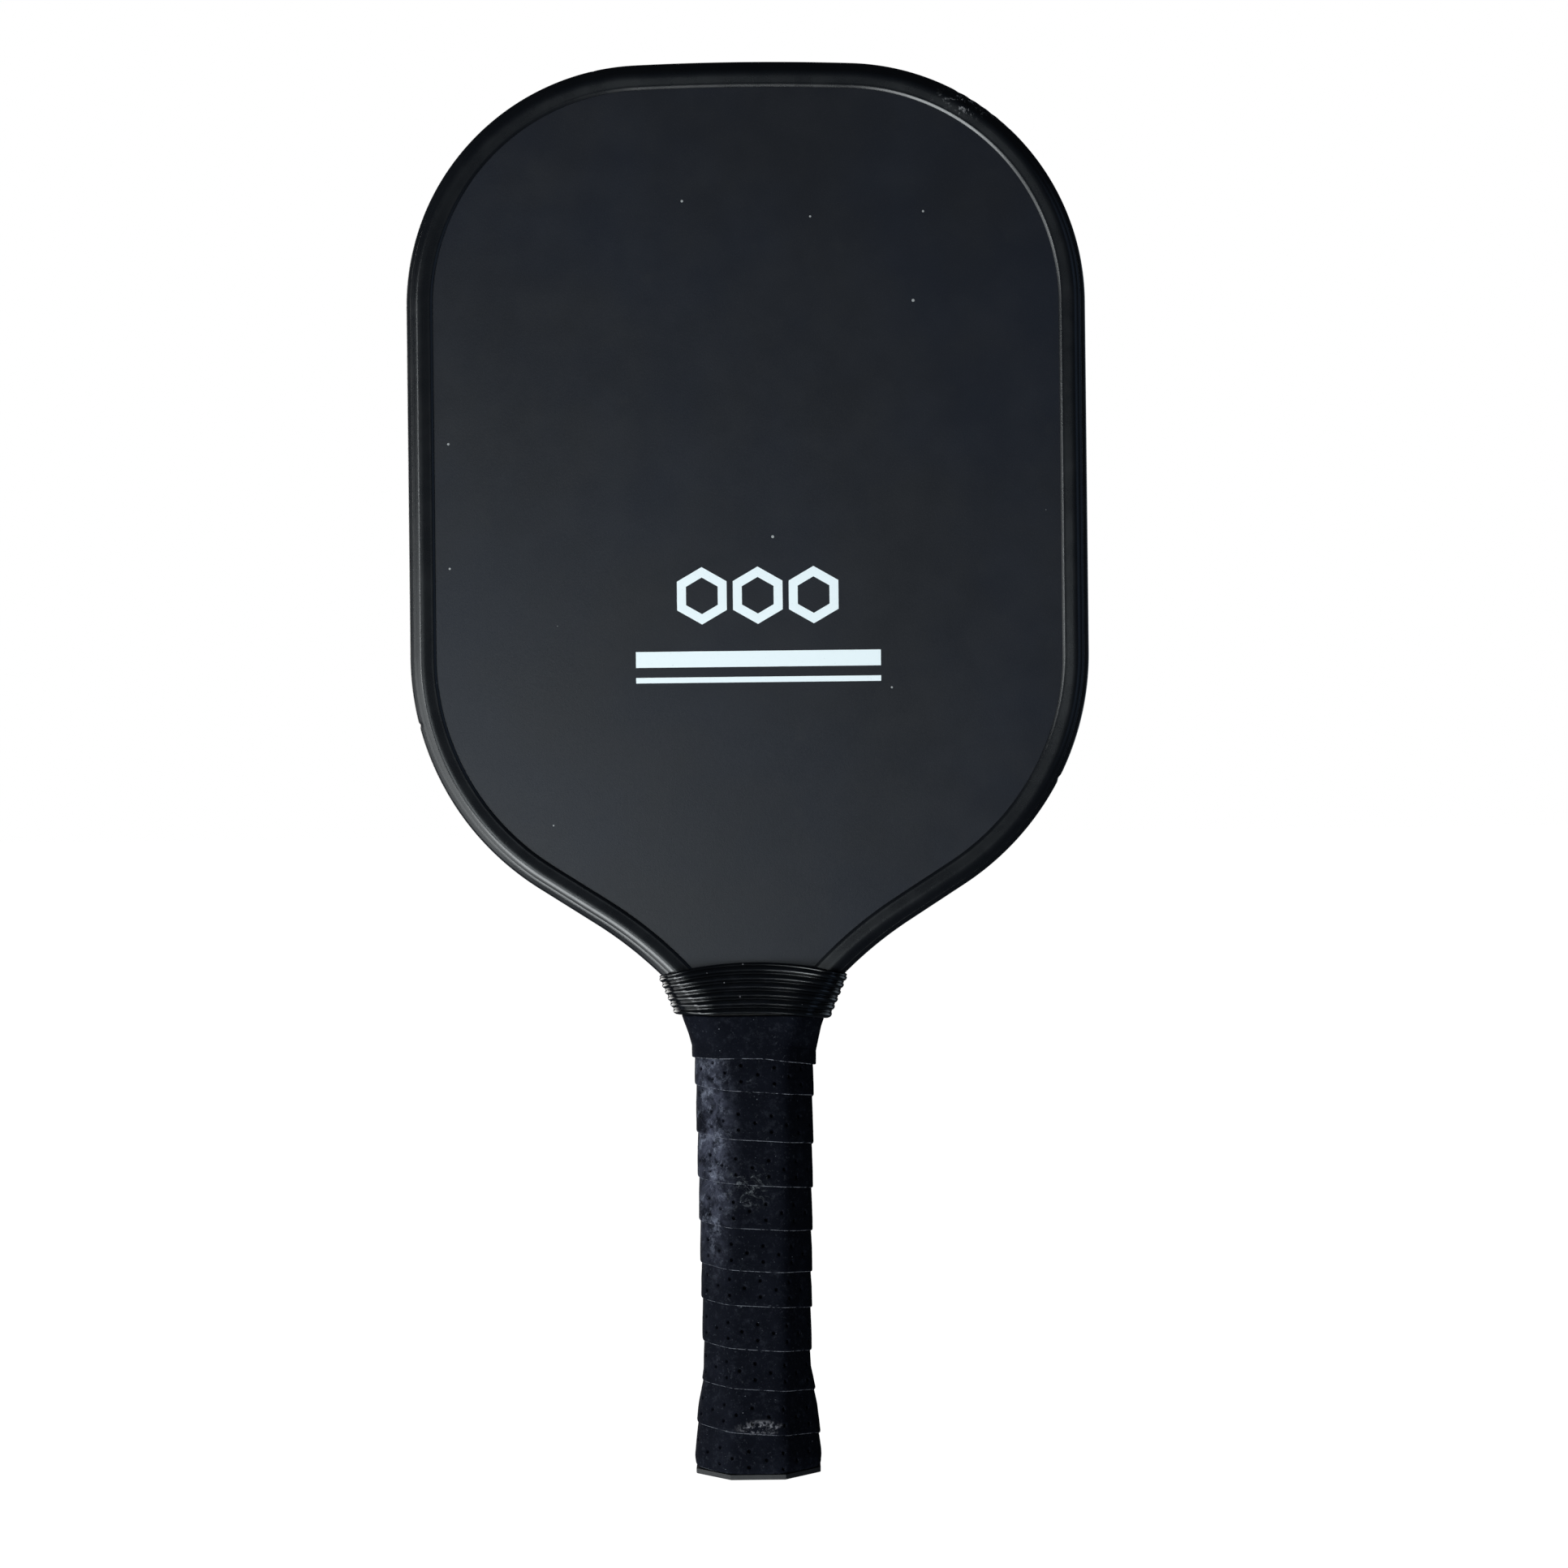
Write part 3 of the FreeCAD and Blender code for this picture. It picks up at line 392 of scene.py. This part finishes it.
def ink_look():
    """Screen-printed white ink, a little thin and rubbed."""
    look = Look("ink", (0.80, 0.88, 0.90), 0.5)
    look.tint(look.between(look.noise(3 * MM, 6, 0.7), 0.55, 0.85, 0, 0.25), (0.62, 0.70, 0.74))
    look.tint(look.between(look.noise(0.5 * MM, 3), 0.66, 0.74, 0, 0.5), (0.35, 0.40, 0.43))
    look.bump(look.noise(0.4 * MM, 2), 0.01 * MM)
    return look.done()


def guard_look():
    """Black vinyl with a soft shine, faint cloudy patches and pale flecks, and pale scuffs at the knocked
    corner.
    """
    look = Look("guard_plastic", (0.0032, 0.0040, 0.0055), 0.28, Specular_IOR_Level=0.5)
    look.tint(look.between(look.noise(6 * MM, 5), 0.45, 0.8, 0, 0.5), (0.0065, 0.0072, 0.0090))
    scuffed = look.spot((70 * MM, -6 * MM, 397.5 * MM), (19 * MM, 6 * MM, 7 * MM))
    flecks = look.between(look.noise(1.4 * MM, 5, 0.8), 0.565, 0.60)
    look.tint(look.math("MULTIPLY", scuffed, flecks), (0.34, 0.34, 0.35))
    flecks = look.between(look.noise(2.2 * MM, 5, 0.8), 0.715, 0.74, 0, 0.7)
    look.tint(flecks, (0.14, 0.14, 0.145))
    look.rough(look.noise(8 * MM, 4), 0.35, 0.75, 0.26, 0.32)
    look.bump(look.noise(4 * MM, 3), 0.012 * MM)
    look.bump(look.noise(0.3 * MM, 2), 0.003 * MM)
    return look.done()


def wrap_look(name, with_dust):
    """Suede-like wrap: a blue-black nap, chalky where the hand sits, with lint along its edges and painted
    highlight crescents on its holes' rims.
    """
    look = Look(name, (0.0016, 0.0022, 0.0046), 0.85, Specular_IOR_Level=0.05)
    look.tint(look.between(look.noise(8 * MM, 6, 0.65), 0.42, 0.72, 0, 0.8), (0.0030, 0.0038, 0.0072))
    look.tint(look.between(look.noise(2.6 * MM, 6, 0.75), 0.50, 0.72, 0, 0.85), (0.0100, 0.0115, 0.0165))
    look.tint(look.between(look.noise(0.9 * MM, 4, 0.8), 0.58, 0.72, 0, 0.9), (0.030, 0.033, 0.040))
    if with_dust:
        palm = look.spot((-13 * MM, -10 * MM, 96 * MM), (10.5 * MM, 14 * MM, 46 * MM))
        cloud = look.between(look.noise(5 * MM, 7, 0.72, distortion=0.6), 0.36, 0.66)
        look.tint(look.math("MULTIPLY", palm, cloud), (0.040, 0.043, 0.062))
        cloud = look.between(look.noise(4.2 * MM, 9, 0.82, distortion=0.15), 0.50, 0.66)
        look.tint(look.math("MULTIPLY", palm, cloud), (0.115, 0.125, 0.160))
        pale = look.spot((-2 * MM, -14 * MM, 84 * MM), (9 * MM, 8 * MM, 9 * MM))
        cloud = look.between(look.noise(3 * MM, 7, 0.75, distortion=1.2), 0.52, 0.68)
        look.tint(look.math("MULTIPLY", pale, cloud), (0.11, 0.12, 0.13))
        smudge = look.spot((0.8 * MM, -15 * MM, 15.0 * MM), (8.0 * MM, 6 * MM, 2.6 * MM))
        cloud = look.between(look.noise(2.6 * MM, 7, 0.7, distortion=0.3), 0.44, 0.62)
        look.tint(look.math("MULTIPLY", smudge, cloud), (0.30, 0.30, 0.33))
    # Lint along the wrap's lower edges; at the holes the same pale colour is a painted highlight, a crescent
    # on each hole's lower-right rim
    edge = look.add("ShaderNodeAttribute", attribute_name="edge_distance").outputs["Fac"]
    beside = look.between(edge, 0.09 * MM, 0.28 * MM, 1.0, 0.0)
    broken = look.between(look.noise(2.2 * MM, 5, 0.8), 0.42, 0.56)
    look.tint(look.math("MULTIPLY", beside, broken), (0.115, 0.122, 0.140))
    look.tint(look.specks(5 * MM, 0.18 * MM, 0.30, 0.7), (0.085, 0.092, 0.105))
    look.bump(look.noise(0.5 * MM, 3, 0.7), 0.05 * MM)
    look.bump(look.noise(3.0 * MM, 4, 0.6), 0.18 * MM)
    return look.done()


def collar_look():
    """Glossy black rubber with dust caught in the ribs."""
    look = Look("collar_rubber", (0.0020, 0.0026, 0.0036), 0.18, Specular_IOR_Level=0.6)
    streaks = look.noise(4 * MM, 6, 0.7, stretch=(3, 3, 1))
    look.tint(look.between(streaks, 0.5, 0.8, 0, 0.6), (0.014, 0.015, 0.020))
    look.tint(look.specks(4.5 * MM, 0.26 * MM, 0.4, 0.9), (0.16, 0.16, 0.17))
    look.rough(look.noise(9 * MM, 3), 0.4, 0.75, 0.16, 0.22)
    look.bump(look.noise(9 * MM, 2), 0.006 * MM)
    return look.done()


def plain_look(name, colour, other, roughness, grain, relief, **values):
    """A moulded or rolled material: two close colours in patches, grain and a little relief."""
    look = Look(name, colour, roughness, **values)
    look.tint(look.between(look.noise(grain * 12, 4), 0.4, 0.7, 0, 0.8), other)
    look.rough(look.noise(grain * 6, 4), 0.35, 0.7, roughness * 0.9, roughness * 1.1)
    look.bump(look.noise(grain, 3), relief)
    return look.done()


def hidden_looks():
    """Materials of the cap and of the pieces inside."""
    return {
        name: plain_look(name, *values, Metallic=float(name in METALS))
        for name, values in PLAIN_LOOKS.items()
    }


# ---------------------------------------------------------------- edge guard


def arc(centre, radius, start, end, hollow=False):
    """A stretch of the outline: its length, and its points and outward normals at shares from 0 to 1."""

    def at(share):
        angle = start + (end - start) * share
        ray = np.stack([np.cos(angle), np.sin(angle)], -1)
        return np.array(centre) + radius * ray, -ray if hollow else ray

    return radius * abs(end - start), at


def line(start, end, normal):
    start, end = np.array(start), np.array(end)

    def at(share):
        return start + (end - start) * share[:, None], np.tile(normal, (len(share), 1))

    return np.linalg.norm(end - start), at


def outline_stretches():
    """The right half of the guard's outer edge, from the top of the crown down to the throat."""
    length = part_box("edge_guard")[1].z
    half_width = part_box("edge_guard")[1].x
    across = half_width - CORNER_RADIUS
    crown_level = length - CROWN_RADIUS
    corner_level = crown_level + math.sqrt((CROWN_RADIUS - CORNER_RADIUS) ** 2 - across**2)
    crown_end = math.atan2(corner_level - crown_level, across)
    outward = np.array([math.cos(LOWER_SWEEP), -math.sin(LOWER_SWEEP)])
    down = np.array([-math.sin(LOWER_SWEEP), -math.cos(LOWER_SWEEP)])
    lower = np.array([half_width - LOWER_RADIUS, SIDE_END_LEVEL])
    shoulder = lower + outward * LOWER_RADIUS
    throat_start = shoulder + down * SHOULDER_LENGTH
    throat = throat_start + outward * THROAT_RADIUS
    facing = math.pi - LOWER_SWEEP
    return [
        arc((0, crown_level), CROWN_RADIUS, math.pi / 2, crown_end),
        arc((across, corner_level), CORNER_RADIUS, crown_end, 0),
        line((half_width, corner_level), (half_width, SIDE_END_LEVEL), (1, 0)),
        arc(lower, LOWER_RADIUS, 0, -LOWER_SWEEP),
        line(shoulder, throat_start, outward),
        arc(throat, THROAT_RADIUS, facing, facing + THROAT_SWEEP, hollow=True),
    ]


def outline_at(places, stretches):
    """Points and outward normals at these path lengths from the top, those on the left being negative."""
    points = np.zeros((len(places), 2))
    normals = np.zeros((len(places), 2))
    begin = 0.0
    for length, at in stretches:
        inside = (np.abs(places) >= begin - 1e-9) & (np.abs(places) <= begin + length + 1e-9)
        points[inside], normals[inside] = at((np.abs(places[inside]) - begin) / length)
        begin += length
    side = np.where(places < 0, -1, 1)
    points[:, 0] *= side
    normals[:, 0] *= side
    return points, normals


def guard_places(stretches):
    """Path lengths of the guard's sections: evenly spaced, and closer together at each knock."""
    whole = sum(length for length, _ in stretches)
    even = np.linspace(-whole, whole, int(2 * whole / GUARD_STEP))
    points, _ = outline_at(even, stretches)
    places = [even]
    for across, level, _, reach in GUARD_NICKS:
        near = even[np.argmin(np.hypot(points[:, 0] - across * MM, points[:, 1] - level * MM))]
        places.append(near + np.linspace(-2.2, 2.2, 15) * reach * MM)
    places = np.unique(np.concatenate(places))
    return places[np.concatenate([[True], np.diff(places) > 0.05 * MM])]


def edge_guard():
    """The guard as one section swept along the outline, with slight waves and its knocks."""
    stretches = outline_stretches()
    places = guard_places(stretches)
    points, normals = outline_at(places, stretches)
    half = np.array(GUARD_SECTION) * MM
    section = np.concatenate([half * (1, -1), half[:0:-1]])
    depth = np.tile(section[:, 0], (len(places), 1))
    height = np.tile(section[:, 1], (len(places), 1))
    x = points[:, None, 0] - depth * normals[:, None, 0]
    z = points[:, None, 1] - depth * normals[:, None, 1]
    outside = np.clip((np.abs(height) - 3 * MM) / (2 * MM), 0, 1) * (np.abs(height) > 7.1 * MM)
    wave = lumps(np.stack([x, height, z], -1), 14 * MM, 1) * 0.035 * MM
    height += np.sign(height) * wave * outside
    for across, level, cut, reach in GUARD_NICKS:
        along = np.hypot(points[:, 0] - across * MM, points[:, 1] - level * MM) / (reach * MM)
        rim = np.clip(1 - depth / (2.2 * MM), 0, 1) * np.exp(-(((height + 3.5 * MM) / (3.5 * MM)) ** 2))
        dent = cut * MM * np.exp(-(along[:, None] ** 2)) * rim
        x -= dent * normals[:, None, 0]
        z -= dent * normals[:, None, 1]
    swept = np.stack([x, height, z], -1)
    count = len(section)
    faces = grid_faces(len(places), count, True)
    last = (len(places) - 1) * count
    faces += [tuple(range(count))[::-1], tuple(last + k for k in range(count))]
    points = swept.reshape(-1, 3)
    mesh_piece("edge_guard_body", points, faces, guard_look(), "edge_guard")


# ---------------------------------------------------------------- grip, tape and collar


def seam_level(turns):
    """Level of the wrap's lower edge after so many turns, which climbs faster behind than in front."""
    whole = np.floor(turns)
    share = turns - whole
    share = share - REAR_HURRY * np.sin(TURN * share) / TURN
    marks = FIRST_TURN - 1 + np.arange(len(SEAM_LEVELS))
    return np.interp(whole + share, marks, np.array(SEAM_LEVELS) * MM)


def wrap_rows():
    """Rows across the tape: (share of the turn or None, distance from the lower edge, height)."""
    rows = [(None, w * MM, h * MM) for w, h in EDGE_ROWS]
    rows += [(None, w * MM, None) for w in (0.85, 1.35)]
    first_hole_row = len(rows)
    rows += [(None, FIRST_ROW + ROW_PITCH / CUTS * k, None) for k in range(3 * CUTS + 1)]
    rows += [(share, None, None) for share in (0.25, 0.5, 0.75, 0.92, 1.0)]
    rows += [("under", 0.5 * MM, -0.42 * MM), ("under", 0.75 * MM, -0.85 * MM)]
    return rows, first_hole_row


def wrap_grid(turns, rows):
    """Turn fraction, level, height and distance from the edge, at each column of the strip and each row."""
    low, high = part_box("cushion_grip")[0].z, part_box("cushion_grip")[1].z
    edge = seam_level(turns)
    wide = seam_level(turns + 1) - edge
    edge_wave = np.array([noise.noise(Vector((t * 9.0, 3.3, 0))) for t in turns]) * 0.16 * MM
    holes_end = FIRST_ROW + 3 * ROW_PITCH
    levels, heights, distances = [], [], []
    for share, away, height in rows:
        if share == "under":
            across = wide + away
        elif share is not None:
            across = holes_end + (wide - holes_end) * share
        else:
            across = np.full_like(edge, away)
        if height is None:
            lean = TURN_STEP * (1 - across / wide)
            puff = 0.07 * MM * np.sin(math.pi * np.clip(across / wide, 0, 1))
            rise = lean + puff
        else:
            rise = np.full_like(edge, height)
        level = edge + across + edge_wave * np.clip(1 - across / (2 * MM), 0, 1)
        levels.append(level)
        heights.append(rise)
        distances.append(across if height is None else np.full_like(edge, abs(away)))
    order = np.arange(len(rows))[None, :]
    level = np.stack(levels, 1)
    cut_low = low + 0.004 * MM * order
    cut_high = high - 0.004 * MM * (len(rows) - order)
    below, above = level < cut_low, level > cut_high
    level = np.where(below, cut_low, np.where(above, cut_high, level))
    rise = np.stack(heights, 1)
    roll = np.clip((level - low) / (1.1 * MM), 0, 1)
    outer = rise > COVERED
    rise = np.where(outer, rise - 0.5 * MM * (1 - np.sqrt(1 - (1 - roll) ** 2)), rise)
    return level, rise, np.stack(distances, 1), below | above


def hole_places(turns, level, cut, cells, first_hole_row):
    """Where the holes start, as (column, row): three rows, the middle one staggered, bare wrap only."""
    holes = set()
    for c in range(cells):
        for k in range(3):
            i, r = c * CUTS, first_hole_row + k * CUTS
            wanted = c % CELLS_PER_PITCH == (CELLS_PER_PITCH // 2 if k == 1 else 0)
            whole = not cut[i:i + CUTS + 1, r:r + CUTS + 1].any()
            covered = level[i, r + CUTS] > seam_level(turns[i] + 1) - 0.3 * MM
            if wanted and whole and not covered:
                holes.add((i, r))
    return holes


def cushion_grip(sleeve):
    """The wrap as one long perforated strip, wound up the handle, each turn lapping the one below."""
    rows, first_hole_row = wrap_rows()
    cell = HOLE_PITCH / CELLS_PER_PITCH
    first, last = FIRST_TURN + 0.02, FIRST_TURN + len(SEAM_LEVELS) - 3 + 0.3
    cells = int((last - first) * sleeve.girth / cell)
    turns = first + np.arange(cells * CUTS + 1) * (cell / CUTS / sleeve.girth)
    level, rise, distance, cut = wrap_grid(turns, rows)
    across = np.repeat(turns[:, None], len(rows), 1)
    points = sleeve.points(across, level, rise - GRIP_INSET)
    swell = lumps(points, 6 * MM, 5) * 0.07 * MM + lumps(points, 2.2 * MM, 6) * 0.025 * MM
    points = sleeve.points(across, level, rise - GRIP_INSET + np.where(rise > COVERED, swell, 0))
    count = len(rows)
    flat = [points.reshape(-1, 3)]
    edge = [distance.reshape(-1)]
    number = len(flat[0])
    holes = hole_places(turns, level, cut, cells, first_hole_row)
    skipped = {(i + a, r + b) for i, r in holes for a in range(CUTS) for b in range(CUTS)}
    faces = []
    for i in range(len(turns) - 1):
        for j in range(count):
            if (i, j) not in skipped:
                k = (j + 1) % count
                faces.append((i * count + j, (i + 1) * count + j, (i + 1) * count + k, i * count + k))
    rim = [(a, 0) for a in range(CUTS)] + [(CUTS, b) for b in range(CUTS)]
    rim += [(CUTS - a, CUTS) for a in range(CUTS)] + [(0, CUTS - b) for b in range(CUTS)]
    ring = np.arctan2([b - CUTS / 2 for _, b in rim], [a - CUTS / 2 for a, _ in rim])
    for i, r in sorted(holes):
        middle = (i + CUTS // 2, r + CUTS // 2)
        mid_rise = rise[middle] + swell[middle]
        before = [(i + a) * count + r + b for a, b in rim]
        for share, drop in HOLE_RINGS:
            at_turn = turns[middle[0]] + np.cos(ring) * HOLE_RADIUS * share / sleeve.girth
            at_level = level[middle] + np.sin(ring) * HOLE_RADIUS * share
            at_rise = np.full_like(at_turn, mid_rise + drop * MM - GRIP_INSET)
            flat.append(sleeve.points(at_turn, at_level, at_rise))
            # Painted highlight: made-up edge distances that put the pale lint colour on a crescent at the
            # lower-right of each hole's rim
            painted_glint_distance = (0.10 + 0.45 * (1 + np.cos(ring - 0.5))) * MM
            edge.append(painted_glint_distance if share == PAINTED_GLINT_RING else np.full(len(ring), NO_LINT))
            now = list(range(number, number + len(ring)))
            number += len(ring)
            for k in range(len(ring)):
                n = (k + 1) % len(ring)
                faces.append((before[k], before[n], now[n], now[k]))
            before = now
        faces.append(tuple(before))
    top = (len(turns) - 1) * count
    faces += [tuple(range(count)), tuple(top + k for k in range(count))[::-1]]
    look = wrap_look("grip_wrap", True)
    points = np.concatenate(flat)
    piece, used = mesh_piece("perforated_wrap", points, faces, look, "cushion_grip")
    write_edge_distance(piece, np.concatenate(edge)[used])


def write_edge_distance(piece, values):
    """Keeps each point's distance from the wrap's lower edge, which the lint in its material reads; at the
    holes' rims the values are set to paint highlight crescents instead.
    """
    kept = piece.data.attributes.new("edge_distance", "FLOAT", "POINT")
    kept.data.foreach_set("value", values.astype(np.float32))


def finishing_tape(sleeve):
    """The smooth band that closes the wrap, its lower edge falling to the right in front."""
    low, high = (corner.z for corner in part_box("finishing_tape"))
    turn = np.arange(BAND_COUNT) / BAND_COUNT
    across = sleeve.points(turn, np.full(BAND_COUNT, low), np.zeros(BAND_COUNT))[:, 0]
    behind = np.clip((across + 18 * MM) / (36 * MM), 0, 1)
    ahead = np.clip((across - 2 * MM) / (16 * MM), 0, 1) ** 1.3
    fall = np.where((turn > 0.25) & (turn < 0.75), behind, ahead)
    ripple = np.sin(turn * TURN * 5) * 0.05 * MM
    foot = low - BAND_FOOT_DROP + BAND_FOOT_RISE * (1 - fall) + ripple
    rows = list(BAND_EDGE_ROWS)
    rows += [(BAND_START + k * BAND_PITCH, 0.48 - 0.006 * k) for k in range(1, 19)]
    rows += [(BAND_START + k * BAND_PITCH, 0.30) for k in (20, 21, 22)]
    rows.append((rows[-1][0], -0.05))
    levels, rises, edge = [], [], []
    for away, height in rows:
        stretch = (high - foot) / (high - low) if away > 1.0 else 1.0
        levels.append(foot + away * MM * stretch)
        rises.append(np.full(BAND_COUNT, height * MM))
        edge.append(np.full(BAND_COUNT, away * MM if height > 0.1 else NO_LINT))
    level = np.minimum(np.stack(levels), high + BAND_TOP_RISE)
    flare = np.clip((level - BAND_FLARE_FROM) / BAND_FLARE_SPAN, 0, 1) ** 1.5
    rise = np.stack(rises) + BAND_FLARE * flare
    turns = np.repeat(turn[None, :], len(rows), 0)
    swell = lumps(sleeve.points(turns, level, rise), 5 * MM, 8) * 0.05 * MM
    points = sleeve.points(turns, level, rise + swell).reshape(-1, 3)
    faces = grid_faces(len(rows), BAND_COUNT, True)
    top = (len(rows) - 1) * BAND_COUNT
    for j in range(BAND_COUNT):
        k = (j + 1) % BAND_COUNT
        faces.append((top + j, top + k, k, j))
    look = wrap_look("finish_tape", False)
    piece, used = mesh_piece("finishing_band", points, faces, look, "finishing_tape")
    write_edge_distance(piece, np.stack(edge).reshape(-1)[used])


def rib_height(share):
    """Height of the collar's surface from its bottom edge to its top: broad and thin ribs in turn."""
    phase = (share * RIBS) % 1.0
    broad = np.sqrt(np.clip(1 - ((phase - 0.35) / 0.34) ** 2, 0, 1))
    thin = np.sqrt(np.clip(1 - ((phase - 0.84) / 0.15) ** 2, 0, 1))
    return 0.78 * MM * broad + 0.40 * MM * thin


def grip_collar():
    """The rubber collar: arched edges, ribs all round, stretched from the grip onto the guard's throat."""
    count = 400
    tree = tree_of("grip_collar")
    low_loop, high_loop = (outer_loop(tree, z, count, 3.0 * MM) for z in COLLAR_LEVELS)
    slope = (high_loop - low_loop) / (COLLAR_LEVELS[1] - COLLAR_LEVELS[0])
    across = np.linspace(0, 1, RIBS * 22 + 1)

    def loop_at(level):
        return low_loop + slope * (level - COLLAR_LEVELS[0])[:, None]

    def arched(crest, radius):
        level = np.full(count, crest)
        for _ in range(6):
            level = crest - radius + np.sqrt(radius**2 - loop_at(level)[:, 0] ** 2)
        return level

    bottom, top = arched(COLLAR_BOTTOM, COLLAR_BOTTOM_RADIUS), arched(COLLAR_TOP, COLLAR_TOP_RADIUS)
    bottom += np.where(low_loop[:, 0] < 0, (COLLAR_BOTTOM - bottom) * 0.7, 0)
    rings = []
    inner = [(0.02, -0.9), (0.0, -0.7)]
    outer = [(s, rib_height(s) / MM) for s in across]
    close = [(1.0, -0.25), (0.985, -0.6), (0.93, -0.9)]
    for share, height in inner + outer + close:
        level = bottom + (top - bottom) * share
        loop = loop_at(level)
        normal = loop_normals(loop)
        flat = loop + normal * (height * MM - COLLAR_INSET)
        rings.append(np.concatenate([flat, level[:, None]], 1))
    points = np.stack(rings)
    points[..., 2] += lumps(points, 22 * MM, 11) * 0.10 * MM
    faces = grid_faces(len(rings), count, True)
    last = (len(rings) - 1) * count
    faces += [(last + j, last + (j + 1) % count, (j + 1) % count, j) for j in range(count)]
    points = points.reshape(-1, 3)
    mesh_piece("ribbed_collar", points, faces, collar_look(), "grip_collar")


# ---------------------------------------------------------------- stage


def camera():
    data = bpy.data.cameras.new("camera")
    data.lens = CAMERA_LENS
    data.sensor_width = 36
    data.clip_start, data.clip_end = 0.01, 50
    eye = bpy.data.objects.new("camera", data)
    level = Matrix.Rotation(math.pi / 2, 4, "X")
    eye.matrix_world = Matrix.Translation(CAMERA_PLACE) @ level @ Matrix.Rotation(CAMERA_ROLL, 4, "Z")
    scene.collection.objects.link(eye)
    scene.camera = eye


def softbox(name, place, target, width, height, power, colour):
    data = bpy.data.lights.new(name, "AREA")
    data.shape = "RECTANGLE"
    data.size, data.size_y = width, height
    data.energy = power
    data.color = colour
    light = bpy.data.objects.new(name, data)
    light.location = place
    light.rotation_euler = (Vector(target) - Vector(place)).to_track_quat("-Z", "Y").to_euler()
    scene.collection.objects.link(light)


def lights():
    for softbox_values in SOFTBOXES:
        softbox(*softbox_values)


def world():
    """White where the camera looks past the stage, and a dim even grey for everything else."""
    surround = bpy.data.worlds.new("surround")
    surround.use_nodes = True
    nodes, links = surround.node_tree.nodes, surround.node_tree.links
    dim = nodes["Background"]
    dim.inputs[0].default_value = (0.75, 0.85, 1.0, 1)
    dim.inputs[1].default_value = 0.03
    white = nodes.new("ShaderNodeBackground")
    white.inputs[0].default_value = (1, 1, 1, 1)
    white.inputs[1].default_value = 1.0
    mix = nodes.new("ShaderNodeMixShader")
    links.new(nodes.new("ShaderNodeLightPath").outputs["Is Camera Ray"], mix.inputs[0])
    links.new(dim.outputs[0], mix.inputs[1])
    links.new(white.outputs[0], mix.inputs[2])
    links.new(mix.outputs[0], nodes["World Output"].inputs[0])
    scene.world = surround


def floor():
    """A plain pale floor that throws no light on the paddle."""
    mesh = bpy.data.meshes.new("floor")
    corners = [(a * FLOOR_REACH, b * FLOOR_REACH, 0) for a, b in ((-1, -1), (1, -1), (1, 1), (-1, 1))]
    mesh.from_pydata(corners, [], [(0, 1, 2, 3)])
    look = Look("floor", (0.25, 0.25, 0.25), 0.9)
    look.shader.inputs["Emission Color"].default_value = (1, 1, 1, 1)
    look.shader.inputs["Emission Strength"].default_value = 1.0
    mesh.materials.append(look.done())
    ground = bpy.data.objects.new("floor", mesh)
    scene.collection.objects.link(ground)
    ground.visible_diffuse = False
    ground.visible_glossy = False
    ground.visible_transmission = False
    ground.visible_shadow = False


# ---------------------------------------------------------------- the whole


def dress(node, material):
    """Gives a CAD node its material."""
    piece = frame["nodes"][node]
    if not piece.material_slots:
        piece.data.materials.append(material)
    for place in piece.material_slots:
        place.material = material


def dress_cad_nodes():
    looks = {"face_skin": face_look(), "ink": ink_look(), **hidden_looks()}
    for part in frame["record"]["subparts"]:
        if part["material_slot"] in looks:
            dress(part["node"], looks[part["material_slot"]])


camera()
world()
floor()
lights()
dress_cad_nodes()
edge_guard()
grip = Sleeve("cushion_grip", 1.7 * MM, 133.2 * MM, 1.0 * MM, 240, 1.6 * MM)
cushion_grip(grip)
finishing_tape(grip)
grip_collar()

scene.view_settings.view_transform = "Standard"
